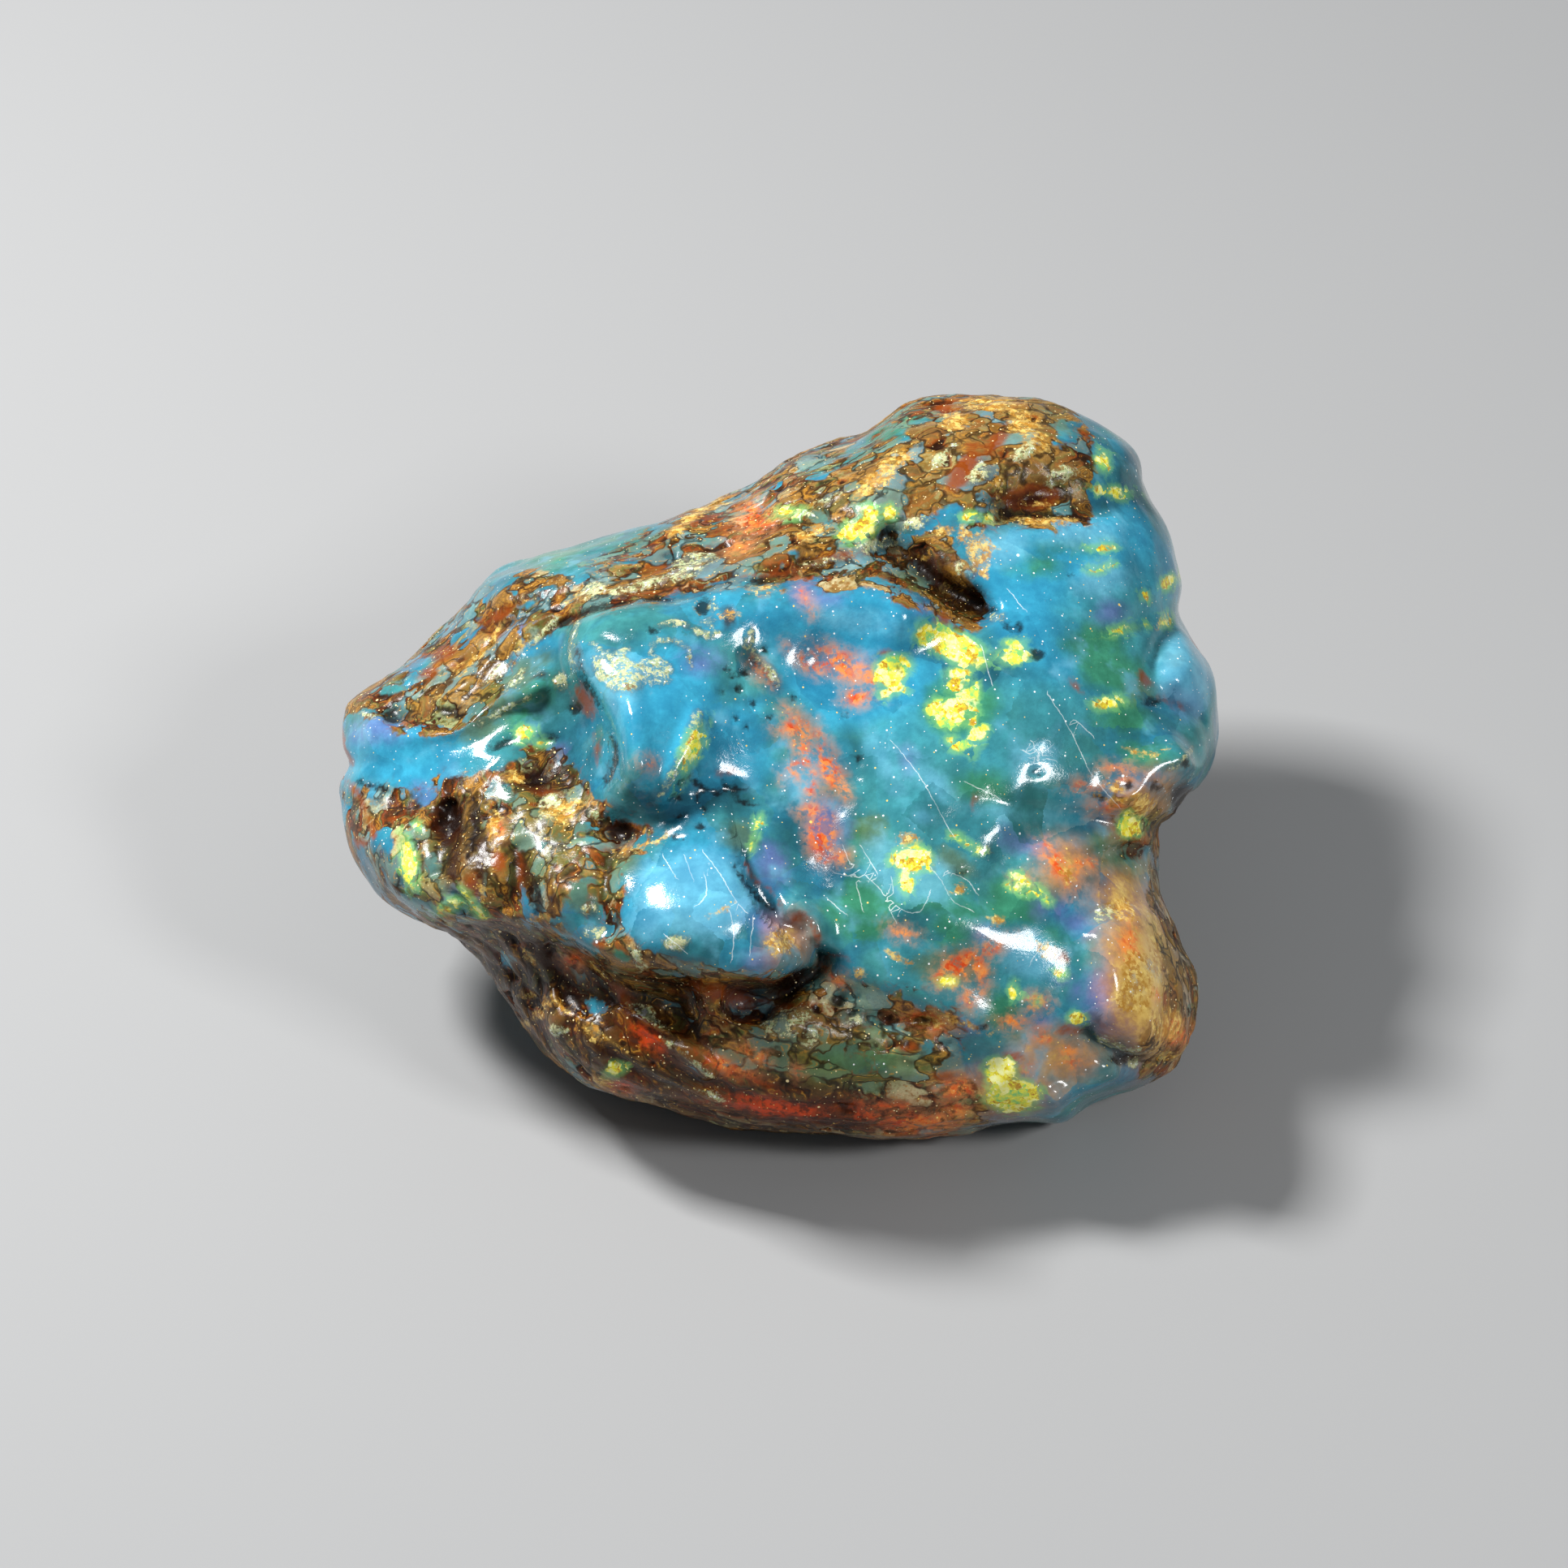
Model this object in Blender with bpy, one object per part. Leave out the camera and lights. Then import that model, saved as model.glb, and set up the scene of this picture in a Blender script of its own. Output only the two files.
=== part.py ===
"""A rough, tumbled nodule of milky blue opal with brown crust, as one closed stone.

Metres, +Z up. The origin is on the surface it rests on, below the middle of the stone.
The stone is modelled from its broad face. On that face a place is given in millimetres as
(across, up), with MIDDLE at (0, 0); the face leans back, so that its normal points FACE_TILT
degrees above the horizontal, toward -Y.
"""

import math

import bmesh
import bpy
import numpy as np

# Driving dimensions, in metres and degrees.
MM = 0.001
FACE_TILT = 42.0
MIDDLE = (-0.15 * MM, 0.8 * MM, 11.2 * MM)
FRONT_DEPTH = 12.0 * MM
BACK_DEPTH = 16.0 * MM
VIEW_DISTANCE = 320.0 * MM
CORE_WIDTH = 41.0 * MM
CORE_HEIGHT = 34.0 * MM
FULLNESS = 2.5
RIM_LEAN = 0.33
ARM_START = 8.0 * MM
ARM_END = 22.0 * MM
ARM_THINNING = 0.35

# Mesh density before and after thinning.
SPHERE_LEVELS = 7
KEPT_SHARE = 0.124
CUTTER_SIZE = 80.0 * MM

OPAL_COLOUR = (0.035, 0.24, 0.38, 1.0)
OPAL_ROUGHNESS = 0.18

# Outline of the stone seen square on to its face, counter-clockwise from the right knob.
OUTLINE = [
    (22.6, 1.3), (22.4, 4.6), (21.2, 6.9), (20.6, 8.1), (20.7, 9.8), (19.95, 12.6), (18.75, 14.5),
    (18.1, 16.3), (16.2, 17.9), (14.0, 19.0), (11.5, 19.3), (9.0, 19.15), (6.5, 18.75), (4.0, 17.4),
    (1.0, 16.2), (-1.5, 14.5), (-4.2, 13.4), (-8.0, 12.2), (-11.5, 11.4), (-15.0, 9.8), (-17.0, 7.4),
    (-20.0, 5.2), (-22.2, 3.7), (-22.65, 1.5), (-22.2, 0.3), (-22.5, -1.0), (-21.7, -4.0),
    (-20.6, -6.0), (-18.8, -7.4), (-16.6, -8.8), (-14.6, -11.0), (-13.1, -13.0), (-11.5, -14.9),
    (-8.5, -16.7), (-4.0, -18.0), (2.0, -18.7), (8.0, -18.6), (12.5, -18.25), (14.5, -18.25),
    (16.0, -17.2), (18.0, -16.4), (20.0, -15.0), (20.9, -13.0), (20.95, -11.0), (20.3, -8.4),
    (19.6, -5.8), (19.45, -3.5), (19.55, -2.7), (20.5, -2.2), (21.9, -0.5),
]

# Rises and hollows of the face: place, height and reach, in millimetres.
BROAD_FORMS = [
    ((-5.6, 3.4), 1.9, (3.9, 5.2)), ((-8.3, 6.2), 0.7, (2.0, 2.0)), ((-4.0, -6.8), 1.7, (4.2, 3.2)),
    ((-11.2, 0.6), -2.0, (2.2, 3.2)), ((-18.2, 0.5), 1.0, (3.6, 1.8)), ((-10.6, -6.2), 0.9, (1.5, 1.4)),
    ((-16.6, -4.6), 0.7, (2.6, 2.2)), ((11.5, 16.2), 1.5, (6.5, 2.8)), ((4.2, 14.4), 0.8, (3.0, 1.8)),
    ((13.4, 14.2), -1.1, (2.0, 1.3)), ((10.2, 8.3), -0.6, (1.2, 0.9)), ((13.0, 5.0), 0.9, (5.5, 5.0)),
    ((21.0, 5.5), 1.2, (1.2, 2.0)), ((20.6, 0.9), 0.9, (1.5, 1.0)), ((18.7, -10.6), 1.1, (1.9, 3.6)),
    ((8.5, -8.0), 0.7, (3.2, 2.2)), ((1.0, -13.0), 0.8, (1.8, 1.0)), ((4.0, 17.0), -0.7, (1.5, 1.0)),
    ((-19.6, 2.7), -0.9, (0.9, 0.6)), ((-3.6, 8.3), -0.8, (0.9, 0.7)), ((-8.0, -3.4), -0.6, (1.0, 0.7)),
    ((3.0, -11.8), -0.6, (0.6, 0.5)), ((5.6, -12.9), -0.7, (0.7, 0.6)), ((7.3, -12.9), -0.6, (0.9, 0.5)),
]

# Flats of the hidden sides: facing, distance from the middle and softness, in millimetres.
BACK_FLATS = [
    ((0.3, 0.9, 0.35), 17.5, 1.0), ((-0.6, 0.75, 0.1), 15.0, 1.0), ((0.75, 0.65, -0.2), 18.0, 0.8),
    ((-0.1, 0.8, -0.6), 14.0, 1.2), ((-0.75, 0.0, -0.65), 13.5, 1.0), ((0.7, -0.1, -0.7), 17.0, 1.0),
    ((0.0, 0.0, -1.0), 11.7, 1.2),
]

# Bosses and hollows on the hidden sides: place in the world, height and reach, in millimetres.
BACK_FORMS = [
    ((-12.0, 12.0, 17.0), 1.8, 5.0),
    ((8.0, 20.0, 16.0), 1.6, 5.5),
    ((0.0, 18.0, 8.0), -2.0, 5.0),
    ((19.0, 10.0, 8.0), 1.6, 4.0),
    ((-19.0, 4.0, 8.0), -1.2, 4.0),
    ((-6.0, 14.0, 3.0), 1.4, 4.5),
    ((14.0, 14.0, 22.0), 1.0, 4.0),
    ((22.0, 0.0, 10.0), -1.2, 4.0),
    ((-14.0, -4.0, 4.0), 1.2, 4.0),
    ((10.0, 17.0, 4.0), 1.2, 4.0),
]

# Paths on the face, in millimetres as (across, up). A ledge stands up on the left of its travel.
CAP_LIP = [
    (-22.6, 0.2), (-22.0, -3.0), (-21.0, -5.2), (-19.3, -6.9), (-17.4, -7.8), (-15.0, -7.8),
    (-13.4, -8.2), (-12.0, -8.8), (-10.0, -9.6), (-8.0, -10.3), (-5.0, -10.6), (-2.0, -11.0),
    (0.0, -10.9), (1.5, -10.2), (2.3, -9.1),
]
DOME_EDGE = [
    (9.6, 7.4), (8.0, 8.4), (6.6, 9.1), (5.2, 9.8), (3.5, 10.1), (1.5, 9.9), (-0.5, 9.5), (-3.0, 9.2),
    (-5.5, 8.95), (-8.0, 8.7), (-9.7, 8.1), (-10.4, 7.2), (-10.3, 5.4), (-9.7, 4.0), (-8.8, 2.9),
    (-8.1, 1.9), (-8.0, 0.6), (-8.5, -0.6), (-9.2, -1.9),
]
CROWN_RIM = [
    (10.8, 14.8), (11.0, 13.2), (12.2, 12.7), (13.6, 12.5), (15.0, 12.7), (16.4, 13.1), (18.5, 13.3),
]
KNOB_RECESS = [(19.2, -4.2), (19.1, -2.6), (19.8, -1.3), (20.8, -0.5), (21.9, 0.6)]
LOWER_EDGE = [
    (12.5, -15.2), (10.5, -14.0), (8.7, -12.7), (7.0, -12.0), (5.0, -11.5), (3.5, -10.8), (2.2, -9.8),
]
BEAK_CREVICE = [(2.4, -8.8), (1.8, -10.1), (0.6, -11.2), (-0.8, -11.8), (-2.6, -12.1)]
FISSURE = [(4.6, 12.1), (5.8, 11.5), (6.9, 10.8), (7.8, 9.9), (8.8, 9.1), (9.8, 8.5), (11.4, 7.8)]
STRIP_RIDGE = [
    (-16.2, 8.8), (-13.5, 9.1), (-11.3, 9.7), (-9.0, 10.3), (-7.0, 11.0), (-5.5, 11.9), (-4.6, 13.0),
    (-3.4, 13.8),
]
MIDDLE_RIDGE = [
    (-18.8, 3.2), (-17.0, 4.0), (-15.5, 5.0), (-14.5, 6.2), (-13.3, 7.3), (-11.5, 8.2), (-9.5, 8.9),
    (-7.0, 9.7), (-4.0, 10.1), (-1.0, 10.5), (1.5, 11.4), (3.8, 11.6),
]
ARM_CREST = [
    (-21.8, 2.9), (-20.0, 2.2), (-18.2, 1.9), (-16.4, 2.4), (-14.8, 3.5), (-13.0, 4.1), (-11.4, 5.3),
]
TIP_RIDGE = [(-21.0, 4.4), (-18.8, 4.9), (-17.4, 5.5), (-16.2, 6.5), (-15.2, 7.9)]
DOME_FOLD = [(-8.3, 5.0), (-7.7, 3.6), (-7.4, 2.0), (-7.3, 0.5), (-7.2, -1.2)]
SLIVER = [(-4.1, 3.7), (-4.4, 1.6), (-4.9, 0.3), (-5.7, -0.8), (-6.5, -2.1)]
DARK_VALLEY = [(-8.6, -2.6), (-6.6, -2.6), (-5.0, -1.4), (-3.0, -1.3), (-0.8, -1.6)]
LOBE_VALLEY = [(-9.3, -1.9), (-8.6, -3.6), (-8.9, -5.4), (-9.1, -7.4), (-8.4, -8.8)]
BEAK_CURL = [(-0.2, -7.2), (0.9, -7.2), (1.8, -7.9), (2.0, -8.9)]
SEAM = [(-2.2, 6.2), (-1.0, 5.0), (0.0, 3.7), (1.2, 2.6), (2.3, 1.5), (3.4, 0.2), (3.6, -1.6)]
LOBE_CRACK = [(-2.4, -4.2), (-1.4, -5.4), (-0.5, -6.6), (0.2, -7.6)]
KNOB_RIDGE = [(16.0, -7.4), (16.4, -9.0), (16.5, -11.0), (16.7, -12.8), (17.8, -13.7), (19.6, -14.0)]
KNOB_NOTCH = [(21.0, -14.6), (19.0, -14.9), (17.6, -14.5), (16.3, -13.8), (15.4, -12.6)]
CORNER_RIDGE = [(13.6, -16.9), (15.2, -16.3), (16.4, -15.8), (17.6, -15.2)]
MILKY_GROOVE = [(20.8, 8.2), (19.7, 7.0), (19.2, 5.4), (19.7, 4.0), (20.8, 3.1), (22.3, 2.8)]
EDGE_GROOVE = [(20.9, 8.3), (19.9, 8.6), (18.8, 8.2), (17.8, 7.0)]
MAROON_GROOVE = [(-17.0, -1.4), (-16.8, -3.4), (-17.2, -6.0)]
AMBER_GROOVE = [(-13.4, -3.6), (-13.2, -5.6), (-13.8, -7.3)]
WALL_FLOOR = [(-17.0, -9.4), (-13.6, -10.0), (-10.6, -11.2), (-7.4, -12.0), (-3.6, -12.6)]
WALL_RIB = [(-14.0, -8.7), (-12.6, -10.0), (-11.8, -11.8), (-11.2, -13.6)]
LONG_RIB = [(-9.0, -11.6), (-7.6, -12.6), (-5.8, -13.6), (-4.4, -14.6), (-3.2, -15.9)]
FACE_VALLEY = [(0.8, 7.0), (3.0, 4.4), (4.4, 1.6), (4.6, -2.0), (3.4, -5.4), (3.0, -7.6)]
CORNER_VALLEY = [(19.0, -4.4), (16.4, -3.2), (13.6, -3.4), (11.4, -5.0), (10.2, -7.4)]

# Ledges of the face: path, height, width of the step and run behind it, in millimetres.
LEDGES = [
    (CAP_LIP, 2.8, 0.6, 5.5), (DOME_EDGE, 2.1, 0.5, 3.2), (CROWN_RIM, -0.8, 0.5, 2.0),
    (KNOB_RECESS, 2.2, 0.4, 2.5), (LOWER_EDGE, -0.9, 0.6, 3.5), (KNOB_RIDGE, 1.3, 0.8, 3.0),
]

# Ridges and grooves of the face: path, height and width, in millimetres.
RIDGES = [
    (BEAK_CREVICE, -2.4, 0.65), (FISSURE, -1.5, 0.8), (STRIP_RIDGE, 0.9, 0.6), (MIDDLE_RIDGE, 0.9, 0.7),
    (ARM_CREST, 0.9, 0.7), (TIP_RIDGE, 0.5, 0.5), (DOME_FOLD, 0.7, 0.7), (SLIVER, 0.5, 0.5),
    (DARK_VALLEY, -0.3, 0.9), (LOBE_VALLEY, -0.7, 0.8), (BEAK_CURL, 0.7, 0.6), (SEAM, -0.5, 0.6),
    (LOBE_CRACK, -0.35, 0.7), (KNOB_RIDGE, 0.4, 0.9), (KNOB_NOTCH, -1.2, 0.6), (CORNER_RIDGE, 0.7, 0.6),
    (MILKY_GROOVE, -0.8, 0.55), (EDGE_GROOVE, -0.5, 0.6), (MAROON_GROOVE, -0.7, 0.8),
    (AMBER_GROOVE, -0.5, 0.6), (WALL_FLOOR, -1.4, 1.6), (WALL_RIB, 0.6, 0.7), (LONG_RIB, 0.7, 0.7),
    (FACE_VALLEY, -0.5, 1.6), (CORNER_VALLEY, -0.7, 1.4),
]

# Layered shelves of the hidden sides: the way the layers face, their spacing and height.
LAYER_FACING = (-0.45, 0.35, 0.8)
LAYER_SPACING = 2.6 * MM
SHELF_HEIGHT = 0.7
SHELF_DROP = 0.75

# Uneven lumps of the whole stone: size, share and seed, and their height in front and behind.
LUMPS = [(8.0 * MM, 1.0, 11), (4.0 * MM, 0.5, 12), (2.0 * MM, 0.25, 13)]
LUMP_HEIGHT = 0.35 * MM
LUMP_HEIGHT_BEHIND = 0.45 * MM

# How far the edges of the face's forms wander, in millimetres, and the size of the wander.
WANDER = 0.35
WANDER_SIZE = 3.0 * MM


def smoothstep(value, low, high):
    """0 below low, 1 above high, and a smooth rise between them."""
    share = np.clip((value - low) / (high - low), 0.0, 1.0)
    return share * share * (3.0 - 2.0 * share)


def curve_through(points, steps=5):
    """A smooth curve through the points, with a few steps from each point to the next."""
    points = np.array(points, float)
    before = 2.0 * points[0] - points[1]
    after = 2.0 * points[-1] - points[-2]
    path = np.vstack([before, points, after])
    share = (np.arange(steps) / steps)[:, None]
    runs = []
    for first in range(len(points) - 1):
        a, b, c, d = path[first:first + 4]
        bend = 2 * a - 5 * b + 4 * c - d + share * (3 * b - 3 * c + d - a)
        runs.append(b + 0.5 * share * (c - a + share * bend))
    return np.vstack(runs + [points[-1:]])


def lattice_gradients(cell, seed):
    """A fixed unit vector for each cell corner, mixed from the corner's whole coordinates."""
    mixed = (cell @ np.array([374761393, 668265263, 1442695041]) + seed * 1274126177) & 0xFFFFFFFF
    mixed = (mixed ^ (mixed >> 13)) * 1274126177 & 0xFFFFFFFF
    mixed = (mixed ^ (mixed >> 16)) * 1103515245 & 0xFFFFFFFF
    mixed = mixed ^ (mixed >> 15)
    parts = np.stack([mixed & 1023, (mixed >> 10) & 1023, (mixed >> 20) & 1023], axis=1)
    vector = parts / 511.5 - 1.0
    return vector / np.linalg.norm(vector, axis=1)[:, None]


def noise(points, size, seed):
    """Smooth wandering values of about -1 to 1, with lumps about as wide as size."""
    scaled = points / size
    base = np.floor(scaled).astype(np.int64)
    inside = scaled - base
    ease = inside ** 3 * (inside * (inside * 6.0 - 15.0) + 10.0)
    total = np.zeros(len(points))
    for corner in np.ndindex(2, 2, 2):
        weight = np.prod(np.where(corner, ease, 1.0 - ease), axis=1)
        gradient = lattice_gradients(base + corner, seed)
        total += weight * ((inside - corner) * gradient).sum(axis=1)
    return 1.5 * total


def nearest_on(face, path):
    """Distance to a path, positive on the left of its travel, and the share of it travelled."""
    line = curve_through(path)
    step = np.diff(line, axis=0)
    away = face[:, None] - line[:-1]
    share = np.clip((away * step).sum(axis=2) / (step ** 2).sum(axis=1), 0.0, 1.0)
    gap = away - share[..., None] * step
    size = np.hypot(gap[..., 0], gap[..., 1])
    row = np.arange(len(face))
    nearest = size.argmin(axis=1)
    turn = step[nearest, 0] * away[row, nearest, 1] - step[nearest, 1] * away[row, nearest, 0]
    return np.copysign(size[row, nearest], turn), (nearest + share[row, nearest]) / len(step)


def fading_ends(share):
    return smoothstep(share, 0.0, 0.12) * smoothstep(1.0 - share, 0.0, 0.12)


def swell(face, centre, height, reach):
    """A rounded rise, or a hollow where the height is negative."""
    offset = (face - centre) / reach
    return height * np.exp(-(offset ** 2).sum(axis=1))


def ridge(face, path, height, width):
    """A rounded ridge along a path, or a groove where the height is negative."""
    distance, share = nearest_on(face, path)
    return height * np.exp(-(distance / width) ** 2) * fading_ends(share)


def ledge(face, path, height, width, run):
    """A step up to the left of a path, easing back down over its run."""
    distance, share = nearest_on(face, path)
    step_up = 0.5 + 0.5 * np.tanh(distance / width)
    return height * step_up * np.exp(-(np.maximum(distance, 0.0) / run) ** 2) * fading_ends(share)


def broad_forms(face):
    """The large rises and hollows of the face, in millimetres toward the viewer."""
    return sum(swell(face, place, height, reach) for place, height, reach in BROAD_FORMS)


def ledges_and_folds(face):
    """The ledges, ridges and creases of the face, in millimetres toward the viewer."""
    height = sum(ledge(face, path, rise, width, run) for path, rise, width, run in LEDGES)
    return height + sum(ridge(face, path, rise, width) for path, rise, width in RIDGES)


def outline_radius(angle):
    """Distance from the middle of the face to its outline in each direction, in metres."""
    corners = np.vstack([OUTLINE[-3:], OUTLINE, OUTLINE[:3]])
    rim = curve_through(corners)[10:-11]
    around = np.arctan2(rim[:, 1], rim[:, 0])
    return MM * np.interp(angle, around, np.hypot(rim[:, 0], rim[:, 1]), period=math.tau)


def rounded_block(direction):
    """The plain form: a full rounded block with the outline of the stone, thinner along its arm.

    Each row of direction is (across, up, toward the viewer), and so is each row of the result.
    """
    angle = np.arctan2(direction[:, 1], direction[:, 0])
    slant = np.hypot(direction[:, 0], direction[:, 1])
    toward = direction[:, 2]
    stretch = (slant ** FULLNESS + np.abs(toward) ** FULLNESS) ** (-1.0 / FULLNESS)
    core = 1.0 / np.hypot(2.0 * np.cos(angle) / CORE_WIDTH, 2.0 * np.sin(angle) / CORE_HEIGHT)
    rim_share = smoothstep(stretch * slant, 0.15, 0.9)
    radius = stretch * slant * (core + rim_share * (outline_radius(angle) - core))
    across = radius * np.cos(angle)
    up = radius * np.sin(angle)
    depth = np.where(toward > 0.0, FRONT_DEPTH, BACK_DEPTH) * stretch * toward
    depth *= 1.0 - ARM_THINNING * smoothstep(-across, ARM_START, ARM_END)
    depth -= RIM_LEAN * up
    nearness = 1.0 - depth / VIEW_DISTANCE
    return np.stack([across * nearness, up * nearness, depth], axis=1)


def face_places(points):
    """Where the points are seen on the face, in millimetres, by an eye VIEW_DISTANCE in front of it."""
    return points[:, :2] / (1.0 - points[:, 2:] / VIEW_DISTANCE) / MM


def carve_face(points, toward):
    """Raise and hollow the face, fading out behind the outline."""
    wander = np.stack([noise(points, WANDER_SIZE, seed) for seed in (31, 32)], axis=1)
    face = face_places(points) + WANDER * wander
    height = broad_forms(face) + ledges_and_folds(face)
    points[:, 2] += MM * height * smoothstep(toward, -0.45, 0.0)


def stand_up(points):
    """Lean the face back and put the middle of the stone at its place above the ground."""
    tilt = math.radians(FACE_TILT)
    across, up, toward = points.T
    depth = up * math.sin(tilt) - toward * math.cos(tilt)
    height = up * math.cos(tilt) + toward * math.sin(tilt)
    return np.stack([across, depth, height], axis=1) + MIDDLE


def press_flat(points, weight, facing, distance, softness):
    """Press the stone in beyond a plane, leaving a flat with softly rounded edges."""
    facing = np.array(facing) / np.linalg.norm(facing)
    beyond = (points - MIDDLE) @ facing / MM - distance
    pressed = softness * np.logaddexp(0.0, beyond / softness)
    return points - MM * (weight * pressed)[:, None] * facing


def shape_back(points, toward):
    """Flats, bosses, hollows and layered ledges on the sides that the face hides."""
    hidden = smoothstep(-toward, 0.05, 0.4)
    for facing, distance, softness in BACK_FLATS:
        points = press_flat(points, hidden, facing, distance, softness)
    outward = points - MIDDLE
    outward /= np.linalg.norm(outward, axis=1)[:, None]
    lift = np.zeros(len(points))
    for centre, height, reach in BACK_FORMS:
        gap = np.linalg.norm(points / MM - centre, axis=1)
        lift += height * np.exp(-(gap / reach) ** 2)
    level = points @ LAYER_FACING / LAYER_SPACING + 0.5 * noise(points, 9.0 * MM, 41)
    shelf = level - np.floor(level)
    shelf -= smoothstep(shelf, SHELF_DROP, 1.0)
    patches = smoothstep(noise(points, 8.0 * MM, 42), -0.2, 0.4)
    lift += SHELF_HEIGHT * shelf * patches
    return points + MM * (lift * hidden)[:, None] * outward


def vertex_normals(points, triangles):
    corner = points[triangles]
    facing = np.cross(corner[:, 1] - corner[:, 0], corner[:, 2] - corner[:, 0])
    total = np.zeros_like(points)
    for place in range(3):
        np.add.at(total, triangles[:, place], facing)
    return total / np.linalg.norm(total, axis=1)[:, None]


def weathering(points, toward):
    """Small uneven lumps over the whole stone, rougher behind, in metres along the surface normal."""
    hidden = smoothstep(-toward, -0.3, 0.3)
    lumps = sum(share * noise(points, size, seed) for size, share, seed in LUMPS)
    return lumps * (LUMP_HEIGHT + LUMP_HEIGHT_BEHIND * hidden)


def stone_points(direction, triangles):
    """Points of the stone in the world for directions from its middle."""
    toward = direction[:, 2]
    points = rounded_block(direction)
    carve_face(points, toward)
    points = shape_back(stand_up(points), toward)
    normal = vertex_normals(points, triangles)
    return points + weathering(points, toward)[:, None] * normal


def make_stone():
    mesh = bpy.data.meshes.new("stone")
    body = bmesh.new()
    bmesh.ops.create_icosphere(body, subdivisions=SPHERE_LEVELS, radius=1.0)
    body.to_mesh(mesh)
    body.free()
    direction = np.empty(3 * len(mesh.vertices))
    mesh.vertices.foreach_get("co", direction)
    corners = np.empty(3 * len(mesh.polygons), np.int32)
    mesh.polygons.foreach_get("vertices", corners)
    points = stone_points(direction.reshape(-1, 3), corners.reshape(-1, 3))
    mesh.vertices.foreach_set("co", points.ravel())
    mesh.shade_smooth()
    mesh.update()
    stone = bpy.data.objects.new("stone", mesh)
    bpy.context.scene.collection.objects.link(stone)
    thinning = stone.modifiers.new("thinning", "DECIMATE")
    thinning.ratio = KEPT_SHARE
    return stone


def make_ground_cutter():
    """A block below the ground plane, which gives the stone its flat resting face."""
    mesh = bpy.data.meshes.new("ground_cutter")
    body = bmesh.new()
    bmesh.ops.create_cube(body, size=CUTTER_SIZE)
    bmesh.ops.translate(body, verts=body.verts, vec=(0.0, 0.0, -0.5 * CUTTER_SIZE))
    body.to_mesh(mesh)
    body.free()
    cutter = bpy.data.objects.new("ground_cutter", mesh)
    cutter.hide_render = True
    cutter.display_type = "WIRE"
    bpy.context.scene.collection.objects.link(cutter)
    return cutter


def opal_material():
    material = bpy.data.materials.new("opal")
    material.use_nodes = True
    surface = material.node_tree.nodes["Principled BSDF"]
    surface.inputs["Base Color"].default_value = OPAL_COLOUR
    surface.inputs["Roughness"].default_value = OPAL_ROUGHNESS
    surface.inputs["Metallic"].default_value = 0.0
    return material


def main():
    for item in list(bpy.data.objects):
        bpy.data.objects.remove(item, do_unlink=True)
    stone = make_stone()
    stone.data.materials.append(opal_material())
    cut = stone.modifiers.new("resting_face", "BOOLEAN")
    cut.operation = "DIFFERENCE"
    cut.object = make_ground_cutter()


main()
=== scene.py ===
"""Looks of a rough, tumbled nodule of milky blue opal with brown crust, on a pale studio floor.

The stone is one closed surface worked out with numpy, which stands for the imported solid, and a
procedural material that reads fields of marks kept on its points. Metres, +Z up. On the broad
face of the stone a place is given in millimetres as (across, up), with MIDDLE at (0, 0); the
face leans back, so that its normal points FACE_TILT degrees above the horizontal, toward -Y.
"""

import math

import bpy
import numpy as np
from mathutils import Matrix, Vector


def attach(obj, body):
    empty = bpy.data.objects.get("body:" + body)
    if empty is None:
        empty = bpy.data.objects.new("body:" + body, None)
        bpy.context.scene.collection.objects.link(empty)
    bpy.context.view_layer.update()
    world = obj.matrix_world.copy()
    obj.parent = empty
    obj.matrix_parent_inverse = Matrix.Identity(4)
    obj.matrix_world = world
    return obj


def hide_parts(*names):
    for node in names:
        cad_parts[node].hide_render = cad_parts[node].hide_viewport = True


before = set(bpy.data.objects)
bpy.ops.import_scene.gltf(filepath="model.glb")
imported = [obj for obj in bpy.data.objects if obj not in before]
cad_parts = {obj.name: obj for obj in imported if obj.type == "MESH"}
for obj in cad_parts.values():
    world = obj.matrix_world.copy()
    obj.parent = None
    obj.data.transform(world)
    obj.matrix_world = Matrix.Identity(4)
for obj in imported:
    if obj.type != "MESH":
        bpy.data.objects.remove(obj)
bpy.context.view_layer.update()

bl_info = {
    "name": "Blue Opal Nodule",
    "version": (1, 0, 0),
    "blender": (4, 5, 0),
    "location": "View3D > Sidebar > Opal",
    "description": "Dresses a rough blue opal nodule and sets it on a studio floor",
    "category": "Object",
}

# Driving dimensions of the stone, in metres and degrees, as in the solid.
MM = 0.001
FACE_TILT = 42.0
MIDDLE = (-0.15 * MM, 0.8 * MM, 11.2 * MM)
FRONT_DEPTH = 12.0 * MM
BACK_DEPTH = 16.0 * MM
VIEW_DISTANCE = 320.0 * MM
CORE_WIDTH = 41.0 * MM
CORE_HEIGHT = 34.0 * MM
FULLNESS = 2.5
RIM_LEAN = 0.33
ARM_START = 8.0 * MM
ARM_END = 22.0 * MM
ARM_THINNING = 0.35
RIM_START = 0.15
RIM_FULL = 0.9

# Unevenness of the stone, in millimetres: how far the forms of the face wander from their places,
# its weathered lumps and what is added to them behind, and the height and spacing of its shelves.
FACE_WANDER = 0.35
WEATHERING = 0.35
WEATHERING_BEHIND = 0.45
SHELF_HEIGHT = 0.7
SHELF_SPACING = 2.6

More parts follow.
